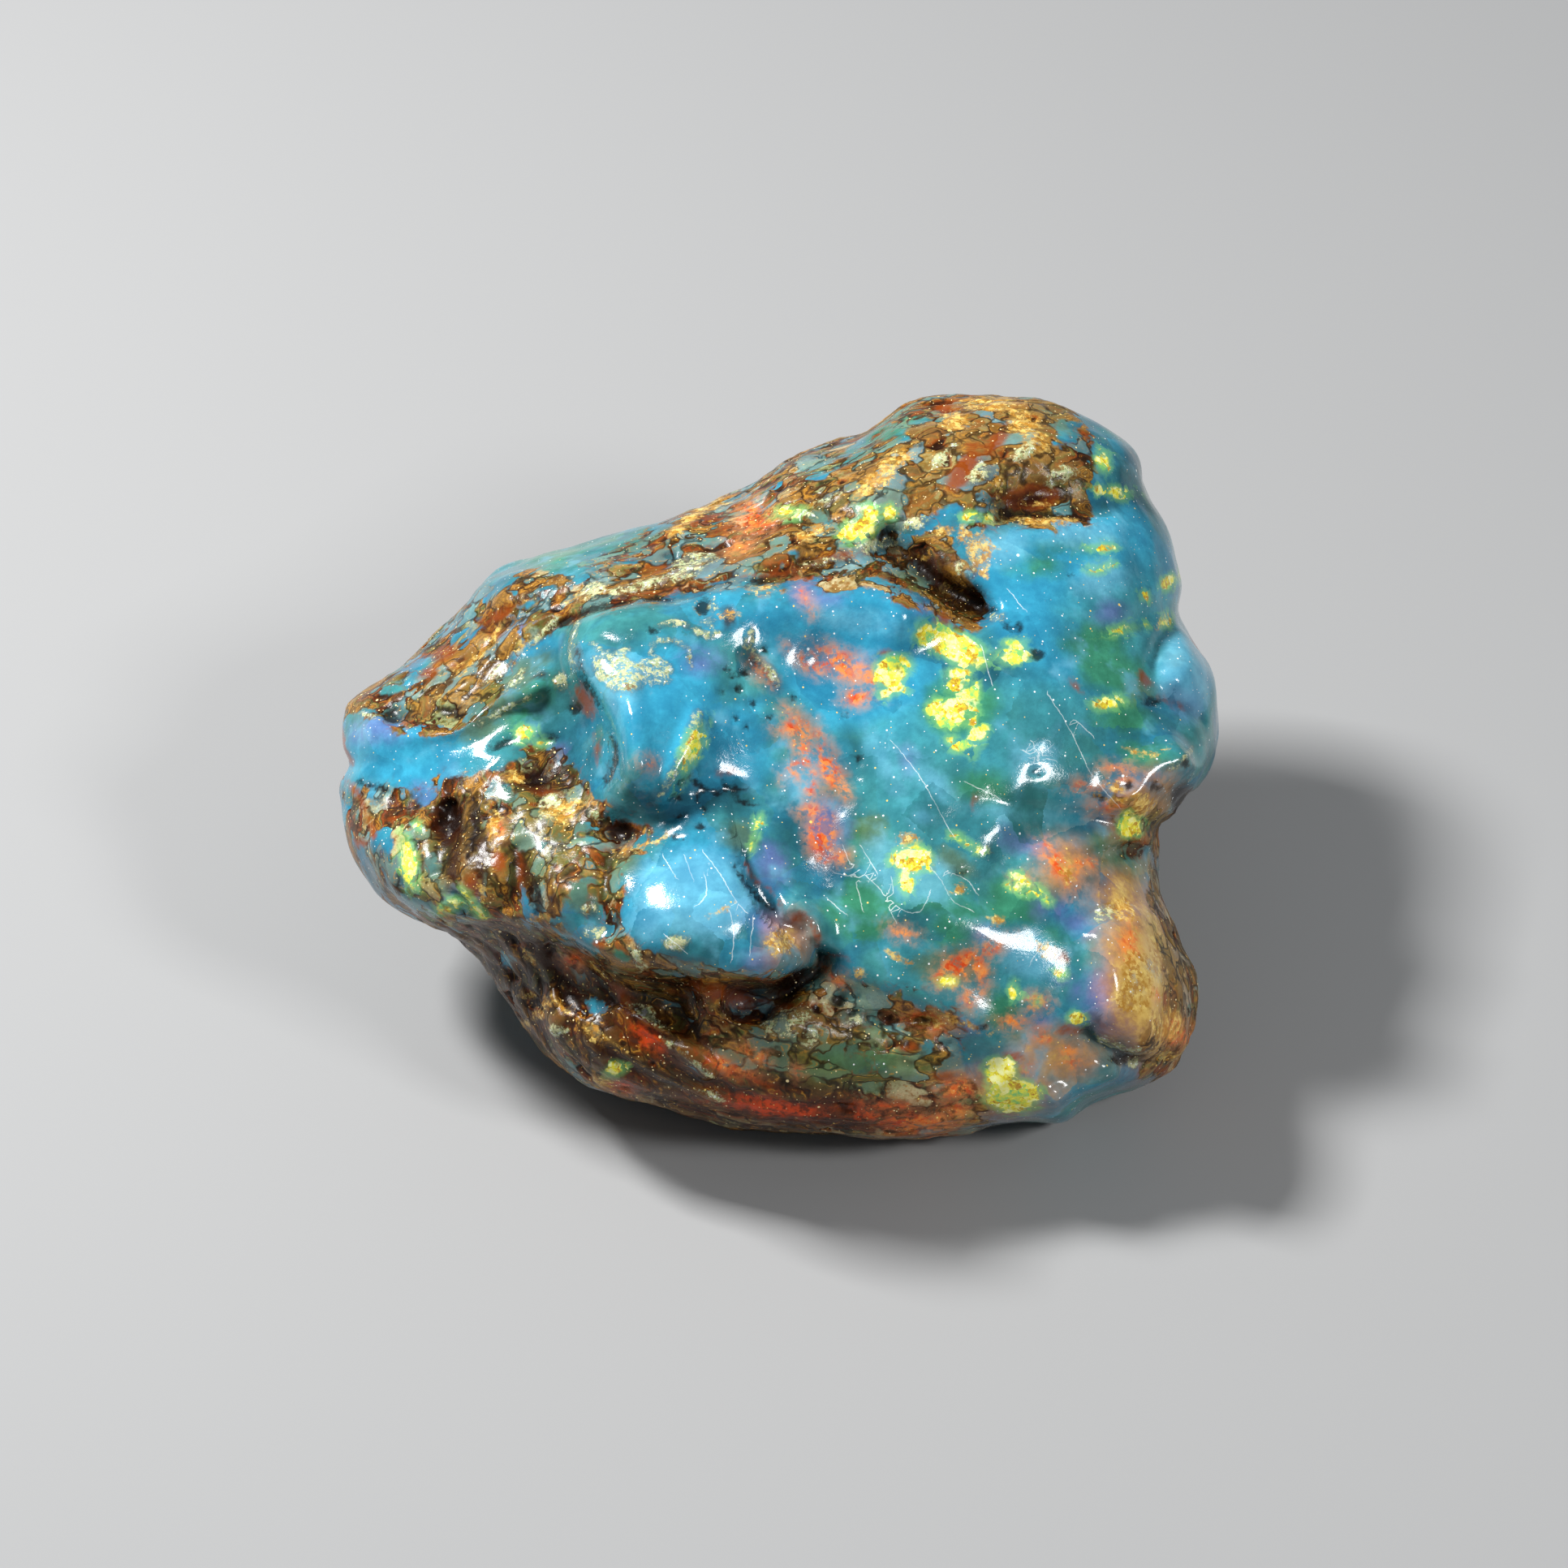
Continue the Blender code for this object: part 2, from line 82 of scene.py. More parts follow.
# Outline of the stone seen square on to its face, counter-clockwise from the right knob.
OUTLINE = [
    (22.6, 1.3), (22.4, 4.6), (21.2, 6.9), (20.6, 8.1), (20.7, 9.8), (19.95, 12.6), (18.75, 14.5),
    (18.1, 16.3), (16.2, 17.9), (14.0, 19.0), (11.5, 19.3), (9.0, 19.15), (6.5, 18.75), (4.0, 17.4),
    (1.0, 16.2), (-1.5, 14.5), (-4.2, 13.4), (-8.0, 12.2), (-11.5, 11.4), (-15.0, 9.8), (-17.0, 7.4),
    (-20.0, 5.2), (-22.2, 3.7), (-22.65, 1.5), (-22.2, 0.3), (-22.5, -1.0), (-21.7, -4.0),
    (-20.6, -6.0), (-18.8, -7.4), (-16.6, -8.8), (-14.6, -11.0), (-13.1, -13.0), (-11.5, -14.9),
    (-8.5, -16.7), (-4.0, -18.0), (2.0, -18.7), (8.0, -18.6), (12.5, -18.25), (14.5, -18.25),
    (16.0, -17.2), (18.0, -16.4), (20.0, -15.0), (20.9, -13.0), (20.95, -11.0), (20.3, -8.4),
    (19.6, -5.8), (19.45, -3.5), (19.55, -2.7), (20.5, -2.2), (21.9, -0.5),
]

# Rises and hollows of the face: place, height and reach, in millimetres.
BROAD_FORMS = [
    ((-5.6, 3.4), 1.9, (3.9, 5.2)), ((-8.3, 6.2), 0.7, (2.0, 2.0)), ((-4.0, -6.8), 1.7, (4.2, 3.2)),
    ((-11.2, 0.6), -2.0, (2.2, 3.2)), ((-18.2, 0.5), 1.0, (3.6, 1.8)), ((-10.6, -6.2), 0.9, (1.5, 1.4)),
    ((-16.6, -4.6), 0.7, (2.6, 2.2)), ((11.5, 16.2), 1.5, (6.5, 2.8)), ((4.2, 14.4), 0.8, (3.0, 1.8)),
    ((13.4, 14.2), -1.1, (2.0, 1.3)), ((10.2, 8.3), -0.6, (1.2, 0.9)), ((13.0, 5.0), 0.9, (5.5, 5.0)),
    ((21.0, 5.5), 1.2, (1.2, 2.0)), ((20.6, 0.9), 0.9, (1.5, 1.0)), ((18.7, -10.6), 1.1, (1.9, 3.6)),
    ((8.5, -8.0), 0.7, (3.2, 2.2)), ((1.0, -13.0), 0.8, (1.8, 1.0)), ((4.0, 17.0), -0.7, (1.5, 1.0)),
    ((-19.6, 2.7), -0.9, (0.9, 0.6)), ((-3.6, 8.3), -0.8, (0.9, 0.7)), ((-8.0, -3.4), -0.6, (1.0, 0.7)),
    ((3.0, -11.8), -0.6, (0.6, 0.5)), ((5.6, -12.9), -0.7, (0.7, 0.6)), ((7.3, -12.9), -0.6, (0.9, 0.5)),
]

# Paths of the face, in millimetres as (across, up). A ledge stands up on the left of its travel.
CAP_LIP = [
    (-22.6, 0.2), (-22.0, -3.0), (-21.0, -5.2), (-19.3, -6.9), (-17.4, -7.8), (-15.0, -7.8),
    (-13.4, -8.2), (-12.0, -8.8), (-10.0, -9.6), (-8.0, -10.3), (-5.0, -10.6), (-2.0, -11.0),
    (0.0, -10.9), (1.5, -10.2), (2.3, -9.1),
]
DOME_EDGE = [
    (9.6, 7.4), (8.0, 8.4), (6.6, 9.1), (5.2, 9.8), (3.5, 10.1), (1.5, 9.9), (-0.5, 9.5), (-3.0, 9.2),
    (-5.5, 8.95), (-8.0, 8.7), (-9.7, 8.1), (-10.4, 7.2), (-10.3, 5.4), (-9.7, 4.0), (-8.8, 2.9),
    (-8.1, 1.9), (-8.0, 0.6), (-8.5, -0.6), (-9.2, -1.9),
]
CROWN_RIM = [
    (10.8, 14.8), (11.0, 13.2), (12.2, 12.7), (13.6, 12.5), (15.0, 12.7), (16.4, 13.1), (18.5, 13.3),
]
KNOB_RECESS = [(19.2, -4.2), (19.1, -2.6), (19.8, -1.3), (20.8, -0.5), (21.9, 0.6)]
LOWER_EDGE = [
    (12.5, -15.2), (10.5, -14.0), (8.7, -12.7), (7.0, -12.0), (5.0, -11.5), (3.5, -10.8), (2.2, -9.8),
]
BEAK_CREVICE = [(2.4, -8.8), (1.8, -10.1), (0.6, -11.2), (-0.8, -11.8), (-2.6, -12.1)]
FISSURE = [(4.6, 12.1), (5.8, 11.5), (6.9, 10.8), (7.8, 9.9), (8.8, 9.1), (9.8, 8.5), (11.4, 7.8)]
STRIP_RIDGE = [
    (-16.2, 8.8), (-13.5, 9.1), (-11.3, 9.7), (-9.0, 10.3), (-7.0, 11.0), (-5.5, 11.9), (-4.6, 13.0),
    (-3.4, 13.8),
]
MIDDLE_RIDGE = [
    (-18.8, 3.2), (-17.0, 4.0), (-15.5, 5.0), (-14.5, 6.2), (-13.3, 7.3), (-11.5, 8.2), (-9.5, 8.9),
    (-7.0, 9.7), (-4.0, 10.1), (-1.0, 10.5), (1.5, 11.4), (3.8, 11.6),
]
ARM_CREST = [
    (-21.8, 2.9), (-20.0, 2.2), (-18.2, 1.9), (-16.4, 2.4), (-14.8, 3.5), (-13.0, 4.1), (-11.4, 5.3),
]
TIP_RIDGE = [(-21.0, 4.4), (-18.8, 4.9), (-17.4, 5.5), (-16.2, 6.5), (-15.2, 7.9)]
DOME_FOLD = [(-8.3, 5.0), (-7.7, 3.6), (-7.4, 2.0), (-7.3, 0.5), (-7.2, -1.2)]
SLIVER = [(-4.1, 3.7), (-4.4, 1.6), (-4.9, 0.3), (-5.7, -0.8), (-6.5, -2.1)]
DARK_VALLEY = [(-8.6, -2.6), (-6.6, -2.6), (-5.0, -1.4), (-3.0, -1.3), (-0.8, -1.6)]
LOBE_VALLEY = [(-9.3, -1.9), (-8.6, -3.6), (-8.9, -5.4), (-9.1, -7.4), (-8.4, -8.8)]
BEAK_CURL = [(-0.2, -7.2), (0.9, -7.2), (1.8, -7.9), (2.0, -8.9)]
SEAM = [(-2.2, 6.2), (-1.0, 5.0), (0.0, 3.7), (1.2, 2.6), (2.3, 1.5), (3.4, 0.2), (3.6, -1.6)]
LOBE_CRACK = [(-2.4, -4.2), (-1.4, -5.4), (-0.5, -6.6), (0.2, -7.6)]
KNOB_RIDGE = [(16.0, -7.4), (16.4, -9.0), (16.5, -11.0), (16.7, -12.8), (17.8, -13.7), (19.6, -14.0)]
KNOB_NOTCH = [(21.0, -14.6), (19.0, -14.9), (17.6, -14.5), (16.3, -13.8), (15.4, -12.6)]
CORNER_RIDGE = [(13.6, -16.9), (15.2, -16.3), (16.4, -15.8), (17.6, -15.2)]
MILKY_GROOVE = [(20.8, 8.2), (19.7, 7.0), (19.2, 5.4), (19.7, 4.0), (20.8, 3.1), (22.3, 2.8)]
EDGE_GROOVE = [(20.9, 8.3), (19.9, 8.6), (18.8, 8.2), (17.8, 7.0)]
MAROON_GROOVE = [(-17.0, -1.4), (-16.8, -3.4), (-17.2, -6.0)]
AMBER_GROOVE = [(-13.4, -3.6), (-13.2, -5.6), (-13.8, -7.3)]
WALL_FLOOR = [(-17.0, -9.4), (-13.6, -10.0), (-10.6, -11.2), (-7.4, -12.0), (-3.6, -12.6)]
WALL_RIB = [(-14.0, -8.7), (-12.6, -10.0), (-11.8, -11.8), (-11.2, -13.6)]
LONG_RIB = [(-9.0, -11.6), (-7.6, -12.6), (-5.8, -13.6), (-4.4, -14.6), (-3.2, -15.9)]
FACE_VALLEY = [(0.8, 7.0), (3.0, 4.4), (4.4, 1.6), (4.6, -2.0), (3.4, -5.4), (3.0, -7.6)]
CORNER_VALLEY = [(19.0, -4.4), (16.4, -3.2), (13.6, -3.4), (11.4, -5.0), (10.2, -7.4)]

# Ledges of the face: path, height, width of the step and run behind it, in millimetres.
LEDGES = [
    (CAP_LIP, 2.8, 0.6, 5.5), (DOME_EDGE, 2.1, 0.5, 3.2), (CROWN_RIM, -0.8, 0.5, 2.0),
    (KNOB_RECESS, 2.2, 0.4, 2.5), (LOWER_EDGE, -0.9, 0.6, 3.5), (KNOB_RIDGE, 1.3, 0.8, 3.0),
]

# Ridges and grooves of the face: path, height and width, in millimetres.
RIDGES = [
    (BEAK_CREVICE, -2.4, 0.65), (FISSURE, -1.5, 0.8), (STRIP_RIDGE, 0.9, 0.6), (MIDDLE_RIDGE, 0.9, 0.7),
    (ARM_CREST, 0.9, 0.7), (TIP_RIDGE, 0.5, 0.5), (DOME_FOLD, 0.7, 0.7), (SLIVER, 0.5, 0.5),
    (DARK_VALLEY, -0.3, 0.9), (LOBE_VALLEY, -0.7, 0.8), (BEAK_CURL, 0.7, 0.6), (SEAM, -0.5, 0.6),
    (LOBE_CRACK, -0.35, 0.7), (KNOB_RIDGE, 0.4, 0.9), (KNOB_NOTCH, -1.2, 0.6), (CORNER_RIDGE, 0.7, 0.6),
    (MILKY_GROOVE, -0.8, 0.55), (EDGE_GROOVE, -0.5, 0.6), (MAROON_GROOVE, -0.7, 0.8),
    (AMBER_GROOVE, -0.5, 0.6), (WALL_FLOOR, -1.4, 1.6), (WALL_RIB, 0.6, 0.7), (LONG_RIB, 0.7, 0.7),
    (FACE_VALLEY, -0.5, 1.6), (CORNER_VALLEY, -0.7, 1.4),
]

# Flats of the hidden sides: facing, distance from the middle and softness, in millimetres.
BACK_FLATS = [
    ((0.3, 0.9, 0.35), 17.5, 1.0), ((-0.6, 0.75, 0.1), 15.0, 1.0), ((0.75, 0.65, -0.2), 18.0, 0.8),
    ((-0.1, 0.8, -0.6), 14.0, 1.2), ((-0.75, 0.0, -0.65), 13.5, 1.0), ((0.7, -0.1, -0.7), 17.0, 1.0),
    ((0.0, 0.0, -1.0), 11.7, 1.2),
]

# Bosses and hollows of the hidden sides: place in the world, height and reach, in millimetres.
BACK_FORMS = [
    ((-12.0, 12.0, 17.0), 1.8, 5.0), ((8.0, 20.0, 16.0), 1.6, 5.5), ((0.0, 18.0, 8.0), -2.0, 5.0),
    ((19.0, 10.0, 8.0), 1.6, 4.0), ((-19.0, 4.0, 8.0), -1.2, 4.0), ((-6.0, 14.0, 3.0), 1.4, 4.5),
    ((14.0, 14.0, 22.0), 1.0, 4.0), ((22.0, 0.0, 10.0), -1.2, 4.0), ((-14.0, -4.0, 4.0), 1.2, 4.0),
    ((10.0, 17.0, 4.0), 1.2, 4.0),
]

# Marks on the face. An oval is (across, up, half width, half height), with its turn in degrees
# where it is turned, and a stroke is (half width, path), all in millimetres.
CRUST_ZONES = [
    [(-24.0, 4.0), (-22.5, 3.2), (-20.4, 2.9), (-19.0, 2.2), (-16.5, 2.3), (-15.0, 4.0), (-13.5, 6.5),
     (-11.5, 7.6), (-10.0, 8.6), (-6.0, 9.2), (-2.0, 9.6), (2.0, 9.9), (5.0, 9.8), (7.5, 8.6),
     (9.6, 7.6), (10.8, 8.8), (8.8, 10.8), (9.5, 12.4), (11.0, 13.0), (13.0, 12.6), (15.4, 12.8),
     (15.6, 15.5), (15.8, 17.4), (14.5, 19.0), (13.0, 20.5), (7.0, 20.5), (2.0, 18.0), (-2.0, 15.5),
     (-4.5, 13.3), (-7.0, 11.2), (-11.0, 9.7), (-15.5, 9.0), (-18.0, 7.5), (-24.0, 4.8)],
    [(-24.0, -0.6), (-21.8, -1.2), (-18.5, -0.9), (-16.0, -0.7), (-13.5, 0.2), (-11.0, 0.6),
     (-10.0, -0.8), (-8.8, -2.4), (-6.6, -3.0), (-8.2, -5.0), (-8.6, -7.5), (-7.0, -9.2),
     (-5.0, -10.3), (-1.0, -10.8), (1.4, -10.8), (2.4, -9.9), (3.5, -11.0), (5.0, -11.6),
     (8.7, -12.6), (9.5, -15.0), (10.5, -18.0), (10.0, -21.0), (-24.0, -21.0)],
    [(17.4, -1.5), (20.2, -2.4), (22.4, -1.4), (22.0, -3.0), (20.2, -4.2), (18.3, -4.0)],
    [(19.4, -5.0), (21.5, -6.0), (22.5, -11.0), (22.0, -15.5), (19.2, -15.8), (18.4, -14.6),
     (19.8, -13.0), (19.9, -10.0), (19.3, -7.0)],
]

# Blue stone that shows through the crust.
BLUE_WINDOWS = [
    (-16.0, 7.2, 1.3, 0.8, 25.0), (-18.5, 5.6, 1.0, 0.5, 20.0), (-15.6, 3.4, 0.9, 0.6, 30.0),
    (-13.6, 5.9, 0.45, 0.4), (-12.6, 7.7, 0.9, 0.3, 20.0), (-13.1, 8.6, 0.6, 0.3, 20.0),
    (-11.3, 6.9, 0.6, 0.8), (-3.0, 12.7, 1.2, 0.5, 20.0), (-1.8, 9.6, 0.5, 0.25, 5.0),
    (-20.6, -1.5, 0.45, 0.7), (-18.3, -1.3, 0.6, 0.5), (-12.3, -3.5, 0.4, 0.9, 10.0),
    (-11.2, -3.6, 0.5, 0.5), (-9.8, -3.2, 0.5, 0.45), (-18.6, -6.9, 1.0, 0.6, -20.0),
    (-17.9, -4.9, 0.5, 0.7), (-20.2, -3.4, 0.7, 1.3, 10.0), (-13.0, -7.2, 0.5, 1.2, 20.0),
    (-10.0, -7.6, 1.6, 2.0, 15.0), (-8.2, -9.6, 1.1, 0.5, -20.0), (-4.4, -15.2, 0.8, 0.5, -30.0),
    (-0.3, -15.0, 0.8, 0.4, -10.0), (-3.2, -14.2, 0.5, 0.3, -30.0), (9.0, 13.2, 1.1, 0.7, 30.0),
    (7.1, 12.4, 1.0, 0.5, 30.0), (6.3, 17.6, 1.6, 0.6, 20.0), (4.0, 16.8, 1.2, 0.5, 30.0),
    (14.6, 17.3, 1.0, 0.8, -30.0), (10.3, 7.4, 0.9, 0.6), (-14.0, -1.2, 0.5, 0.5),
    (-11.6, 9.9, 1.4, 0.4, 15.0), (-7.4, 11.4, 1.2, 0.5, 20.0), (1.6, 15.3, 1.4, 0.5, 30.0),
    (4.3, -14.9, 2.2, 0.8, -8.0), (7.6, -14.2, 0.9, 0.6), (20.3, -6.6, 0.8, 0.8),
    (18.2, -5.6, 1.0, 0.8), (-13.8, -9.6, 0.7, 0.3, -50.0), (-9.3, -12.2, 1.0, 0.35, -35.0),
]
BLUE_STRIPES = [
    (0.25, [(-21.8, 3.9), (-20.2, 4.3), (-18.4, 4.4)]),
    (0.3, [(-16.2, 3.3), (-15.0, 4.6), (-13.9, 5.9)]),
    (0.3, [(-4.6, 9.5), (-2.4, 9.7), (-0.5, 10.0), (0.7, 10.9)]),
    (0.5, [(-22.6, -1.6), (-22.0, -3.2), (-21.4, -4.5), (-20.2, -6.5), (-18.6, -7.6)]),
    (0.18, [(1.6, 13.1), (2.1, 12.9), (2.7, 12.3)]),
    (0.3, [(-16.5, 8.7), (-13.0, 9.6), (-9.0, 11.2), (-5.2, 12.9)]),
]

BRIGHT_BLUE = [
    (15.2, 8.4, 4.6, 4.2), (4.0, 5.4, 3.6, 3.2), (20.9, 5.4, 1.4, 2.0), (2.6, -0.4, 1.4, 1.8),
    (12.5, 9.6, 2.2, 1.6, 20.0), (5.0, 8.0, 3.4, 1.4, -5.0), (3.0, 3.6, 1.8, 1.5),
    (6.4, 0.2, 1.8, 2.4, 20.0), (9.6, -3.0, 2.4, 1.2, -20.0), (-5.8, 3.6, 2.6, 3.2),
    (-2.6, 1.2, 2.0, 2.2), (-19.0, 0.5, 3.4, 1.6), (-3.6, -5.4, 2.4, 2.0), (14.0, 3.8, 2.0, 2.4),
    (12.6, -9.6, 2.0, 1.6), (-12.8, 6.8, 0.9, 0.8), (17.6, 11.4, 2.2, 1.6), (-0.4, 7.8, 2.4, 1.0),
    (10.8, 1.0, 1.6, 2.2), (5.7, -1.2, 0.8, 0.4), (9.4, -9.4, 1.2, 1.6),
]
# Deep teal of the stone; where it lies in the hollows and valleys, it is painted shade.
DEEP_TEAL_AND_SHADE = [
    (-12.4, 2.4, 2.6, 2.0, 40.0), (-6.0, -2.2, 2.4, 1.0, 10.0), (-3.6, -1.4, 2.4, 1.0),
    (0.8, -3.2, 1.0, 1.8), (4.0, 0.8, 0.8, 1.0, 20.0), (7.9, -2.6, 1.0, 0.8),
    (18.6, 14.8, 1.2, 2.0, 20.0), (12.6, -3.6, 1.6, 0.8, -20.0), (11.0, 5.0, 0.6, 1.4),
    (17.6, 1.2, 1.4, 1.6), (-9.2, 11.9, 2.0, 0.6, 15.0), (-14.0, 10.2, 1.6, 0.6, 20.0),
    (10.2, 8.2, 1.3, 0.5, -20.0), (-20.8, -5.4, 0.8, 1.6, 20.0), (-7.8, 6.6, 0.7, 0.4),
    (3.6, -5.4, 1.0, 1.0), (14.6, 5.0, 1.2, 1.0), (12.8, 7.0, 1.2, 0.7), (-10.2, 0.0, 0.9, 1.6),
    (6.6, -7.6, 1.4, 0.8), (-7.0, -9.4, 1.6, 0.5, -15.0), (15.6, -6.0, 1.2, 0.8),
]
VIOLET_HAZE = [
    (-20.8, 2.1, 1.3, 0.6), (2.3, 8.8, 0.9, 0.5), (17.1, 8.2, 0.7, 0.6), (-4.0, 5.5, 0.9, 0.6),
    (1.2, 9.0, 0.8, 0.7), (-0.4, -5.0, 0.9, 1.3), (-0.5, -7.9, 1.5, 0.8, -20.0), (-1.2, -9.7, 0.8, 0.4),
    (12.7, -3.9, 1.4, 0.5, -20.0), (13.4, -7.1, 0.6, 0.6), (20.9, 3.6, 0.9, 0.7, -40.0),
    (14.7, -10.8, 0.5, 0.4), (17.3, -13.0, 1.0, 0.6), (15.3, -7.8, 0.7, 0.6), (14.4, -7.3, 0.5, 0.4),
    (-16.6, -2.9, 0.25, 1.3, 8.0), (-16.3, -5.1, 0.2, 0.9, -8.0), (-12.6, 7.7, 0.9, 0.25, 20.0),
    (10.6, -8.3, 0.5, 0.4), (2.6, -2.8, 1.0, 1.4), (4.2, 5.4, 0.8, 0.6), (-18.3, -1.3, 0.6, 0.4),
    (6.6, 0.5, 0.3, 0.4), (7.6, 8.6, 0.5, 0.4), (9.7, -13.2, 0.7, 0.4), (13.3, -12.8, 0.5, 0.4),
    (-11.3, 0.8, 0.5, 0.5), (16.4, -11.4, 0.9, 1.4), (21.6, -11.8, 0.4, 2.2), (15.3, -11.3, 0.6, 0.5),
]
MILKY_VEILS = [
    (-4.2, -6.4, 3.0, 2.4), (21.2, 5.0, 1.2, 2.2), (12.8, -9.4, 1.8, 1.2, -20.0), (20.9, 5.2, 1.4, 1.9),
    (-9.3, 5.5, 0.7, 0.7), (8.0, -0.8, 1.4, 0.5, -50.0), (11.0, -2.0, 2.0, 0.4, -5.0),
    (12.3, -0.4, 0.35, 1.6), (5.4, 0.4, 0.4, 1.2, 30.0), (16.4, -6.8, 1.2, 0.7),
    (3.0, 7.8, 2.2, 0.5, -10.0), (-5.4, -6.0, 1.2, 0.8), (-20.7, -1.4, 0.5, 0.7), (13.3, 0.7, 1.0, 0.9),
    (6.6, -5.2, 2.4, 1.4, -30.0), (16.6, 9.8, 1.2, 0.8), (14.8, 12.0, 1.6, 0.5), (-8.0, 4.6, 0.8, 1.2),
    (12.4, -14.6, 1.0, 0.7), (-6.4, -8.0, 1.0, 0.8), (1.0, -0.6, 0.8, 1.0), (9.0, 9.8, 0.6, 0.6),
    (11.6, 11.6, 1.2, 0.7), (7.4, -2.4, 0.6, 0.5),
]
JADE_ZONES = [
    (17.0, 5.2, 1.5, 1.0, -20.0), (18.0, 2.8, 1.4, 0.8), (18.8, 0.9, 1.5, 0.6, -10.0),
    (17.0, -4.0, 1.4, 1.0), (4.4, -7.0, 1.8, 1.4, 20.0), (8.0, -6.5, 1.5, 1.0), (9.2, -7.8, 1.4, 0.9),
    (12.3, -6.8, 1.6, 1.3), (10.6, -1.0, 1.4, 0.9), (14.0, -8.6, 0.7, 0.5, -30.0),
    (2.4, -15.2, 1.4, 0.7), (5.3, -14.8, 1.2, 0.6), (13.7, -14.6, 0.8, 0.7), (18.3, -5.3, 0.8, 0.6),
    (5.4, 17.2, 1.4, 0.6, 25.0), (6.5, 18.3, 1.2, 0.5, 20.0), (-11.6, 11.0, 0.8, 0.3, 15.0),
    (-7.3, 11.7, 1.0, 0.4, 15.0), (-14.2, -1.3, 0.5, 0.6), (-13.7, -3.3, 0.35, 0.6),
    (5.0, -4.2, 1.4, 1.0, -20.0), (9.4, 3.4, 1.6, 1.4), (14.6, 11.4, 1.0, 0.3),
    (-8.4, -9.5, 0.9, 0.4, -15.0), (11.6, -12.2, 1.4, 1.0), (3.6, -3.2, 1.2, 0.6),
    (-2.6, -12.9, 0.8, 0.4, -20.0), (16.4, 6.6, 1.2, 0.7), (13.6, 10.6, 0.8, 0.4),
    (-12.8, 3.4, 1.1, 0.6, 50.0),
]
# Amber glows of the right knob and a few spots: amber and gold of the stone, whose light gold on the knob
# is painted light.
AMBER_GLOWS = [
    (18.8, -10.4, 2.0, 4.4), (19.4, -13.6, 1.8, 1.4), (17.4, -6.6, 1.2, 1.2),
    (18.4, -2.0, 1.6, 1.0, 40.0), (14.4, -14.6, 1.4, 0.7), (11.4, -16.6, 2.0, 1.2),
    (0.4, -8.6, 0.8, 0.8), (14.8, -4.8, 1.0, 0.8, 35.0),
]
TEAL_ZONES = [
    (9.0, -2.4, 6.0, 4.4, -20.0), (13.0, 2.0, 4.0, 3.0), (17.4, 7.0, 2.6, 3.0), (10.0, -10.6, 5.0, 2.6),
    (-13.4, 2.6, 3.0, 1.4, 45.0), (-10.0, 11.2, 5.0, 0.9, 15.0), (14.0, -14.0, 2.6, 1.4),
    (3.0, -14.6, 5.0, 1.4),
]
OLIVE_ZONES = [
    (-13.2, -3.4, 3.2, 2.6), (-14.6, 3.8, 2.4, 1.0, 45.0), (2.6, -14.8, 5.0, 1.6, -5.0),
    (-17.6, -4.6, 1.2, 2.0), (5.0, -14.5, 3.6, 1.3, -6.0), (19.0, -1.9, 1.6, 1.2, 40.0),
    (2.8, -1.0, 0.8, 0.6), (-2.2, -3.5, 1.1, 0.9), (4.7, -3.0, 0.7, 0.8), (-8.0, -4.8, 0.7, 0.5),
    (6.9, 9.8, 0.5, 1.3, 40.0), (-10.2, -6.4, 1.2, 0.8), (20.3, 5.7, 0.5, 0.4), (20.0, -9.6, 0.6, 1.2),
    (8.7, -4.6, 1.0, 0.4, -30.0), (-12.6, 5.5, 0.6, 0.3, 50.0), (12.5, -13.8, 0.8, 0.5),
    (18.6, 4.0, 0.6, 0.4), (-6.0, -15.3, 1.4, 0.6, -30.0), (2.6, 13.6, 1.6, 0.6, 30.0),
    (13.8, 18.3, 1.0, 0.4, -20.0), (9.0, -10.2, 1.6, 0.8),
]
YELLOW_FIRES = [
    (8.9, 6.5, 1.7, 0.75, -28.0), (7.7, 6.9, 0.6, 0.5), (9.3, 5.1, 0.6, 0.35),
    (9.0, 4.4, 0.4, 0.25, 20.0), (9.6, 4.0, 0.35, 0.2, -30.0), (8.8, 3.0, 0.95, 0.8, 20.0),
    (8.0, 3.2, 0.4, 0.45), (8.8, 1.6, 0.35, 0.3), (9.4, 1.3, 0.3, 0.2), (10.0, 2.3, 0.22, 0.8),
    (10.3, 1.9, 0.45, 0.45), (10.1, 4.3, 0.14, 0.45), (5.8, 5.2, 0.95, 0.75, 10.0),
    (6.0, 4.3, 0.4, 0.25), (5.4, 4.0, 0.3, 0.25), (12.0, 5.9, 0.8, 0.35, 8.0), (12.2, 6.6, 0.3, 0.14),
    (16.9, 3.5, 0.6, 0.32), (20.2, 9.8, 0.4, 0.25, 40.0), (18.8, 9.0, 0.16, 0.2),
    (19.9, 7.7, 0.25, 0.3), (6.9, -4.6, 1.0, 0.65), (6.5, -5.7, 0.32, 0.7), (18.0, -2.9, 0.65, 0.5),
    (11.4, -15.4, 0.8, 0.7), (12.0, -16.7, 1.4, 0.85), (-19.1, -4.6, 0.38, 1.2, 12.0),
    (4.0, 12.3, 0.8, 0.45, 20.0), (4.8, 13.2, 0.5, 0.35), (5.6, 13.2, 0.4, 0.35),
    (16.6, 15.9, 0.32, 0.5), (17.2, 14.3, 0.7, 0.22, -10.0), (8.7, -10.8, 0.4, 0.32),
    (13.3, -11.8, 0.22, 0.3), (12.1, -11.4, 0.22, 0.4), (15.3, -12.7, 0.3, 0.25),
    (-13.1, 1.9, 0.5, 0.45), (-12.2, 1.4, 0.25, 0.15), (-8.4, -15.3, 0.4, 0.3),
    (-16.9, -6.9, 0.6, 0.28, 20.0), (14.4, -10.4, 0.25, 0.2), (-18.5, -2.9, 0.2, 0.2),
    (17.8, 7.3, 0.55, 0.14, 10.0), (-4.6, 0.9, 0.32, 1.3, -20.0), (0.4, 13.2, 0.5, 0.2, 20.0),
]
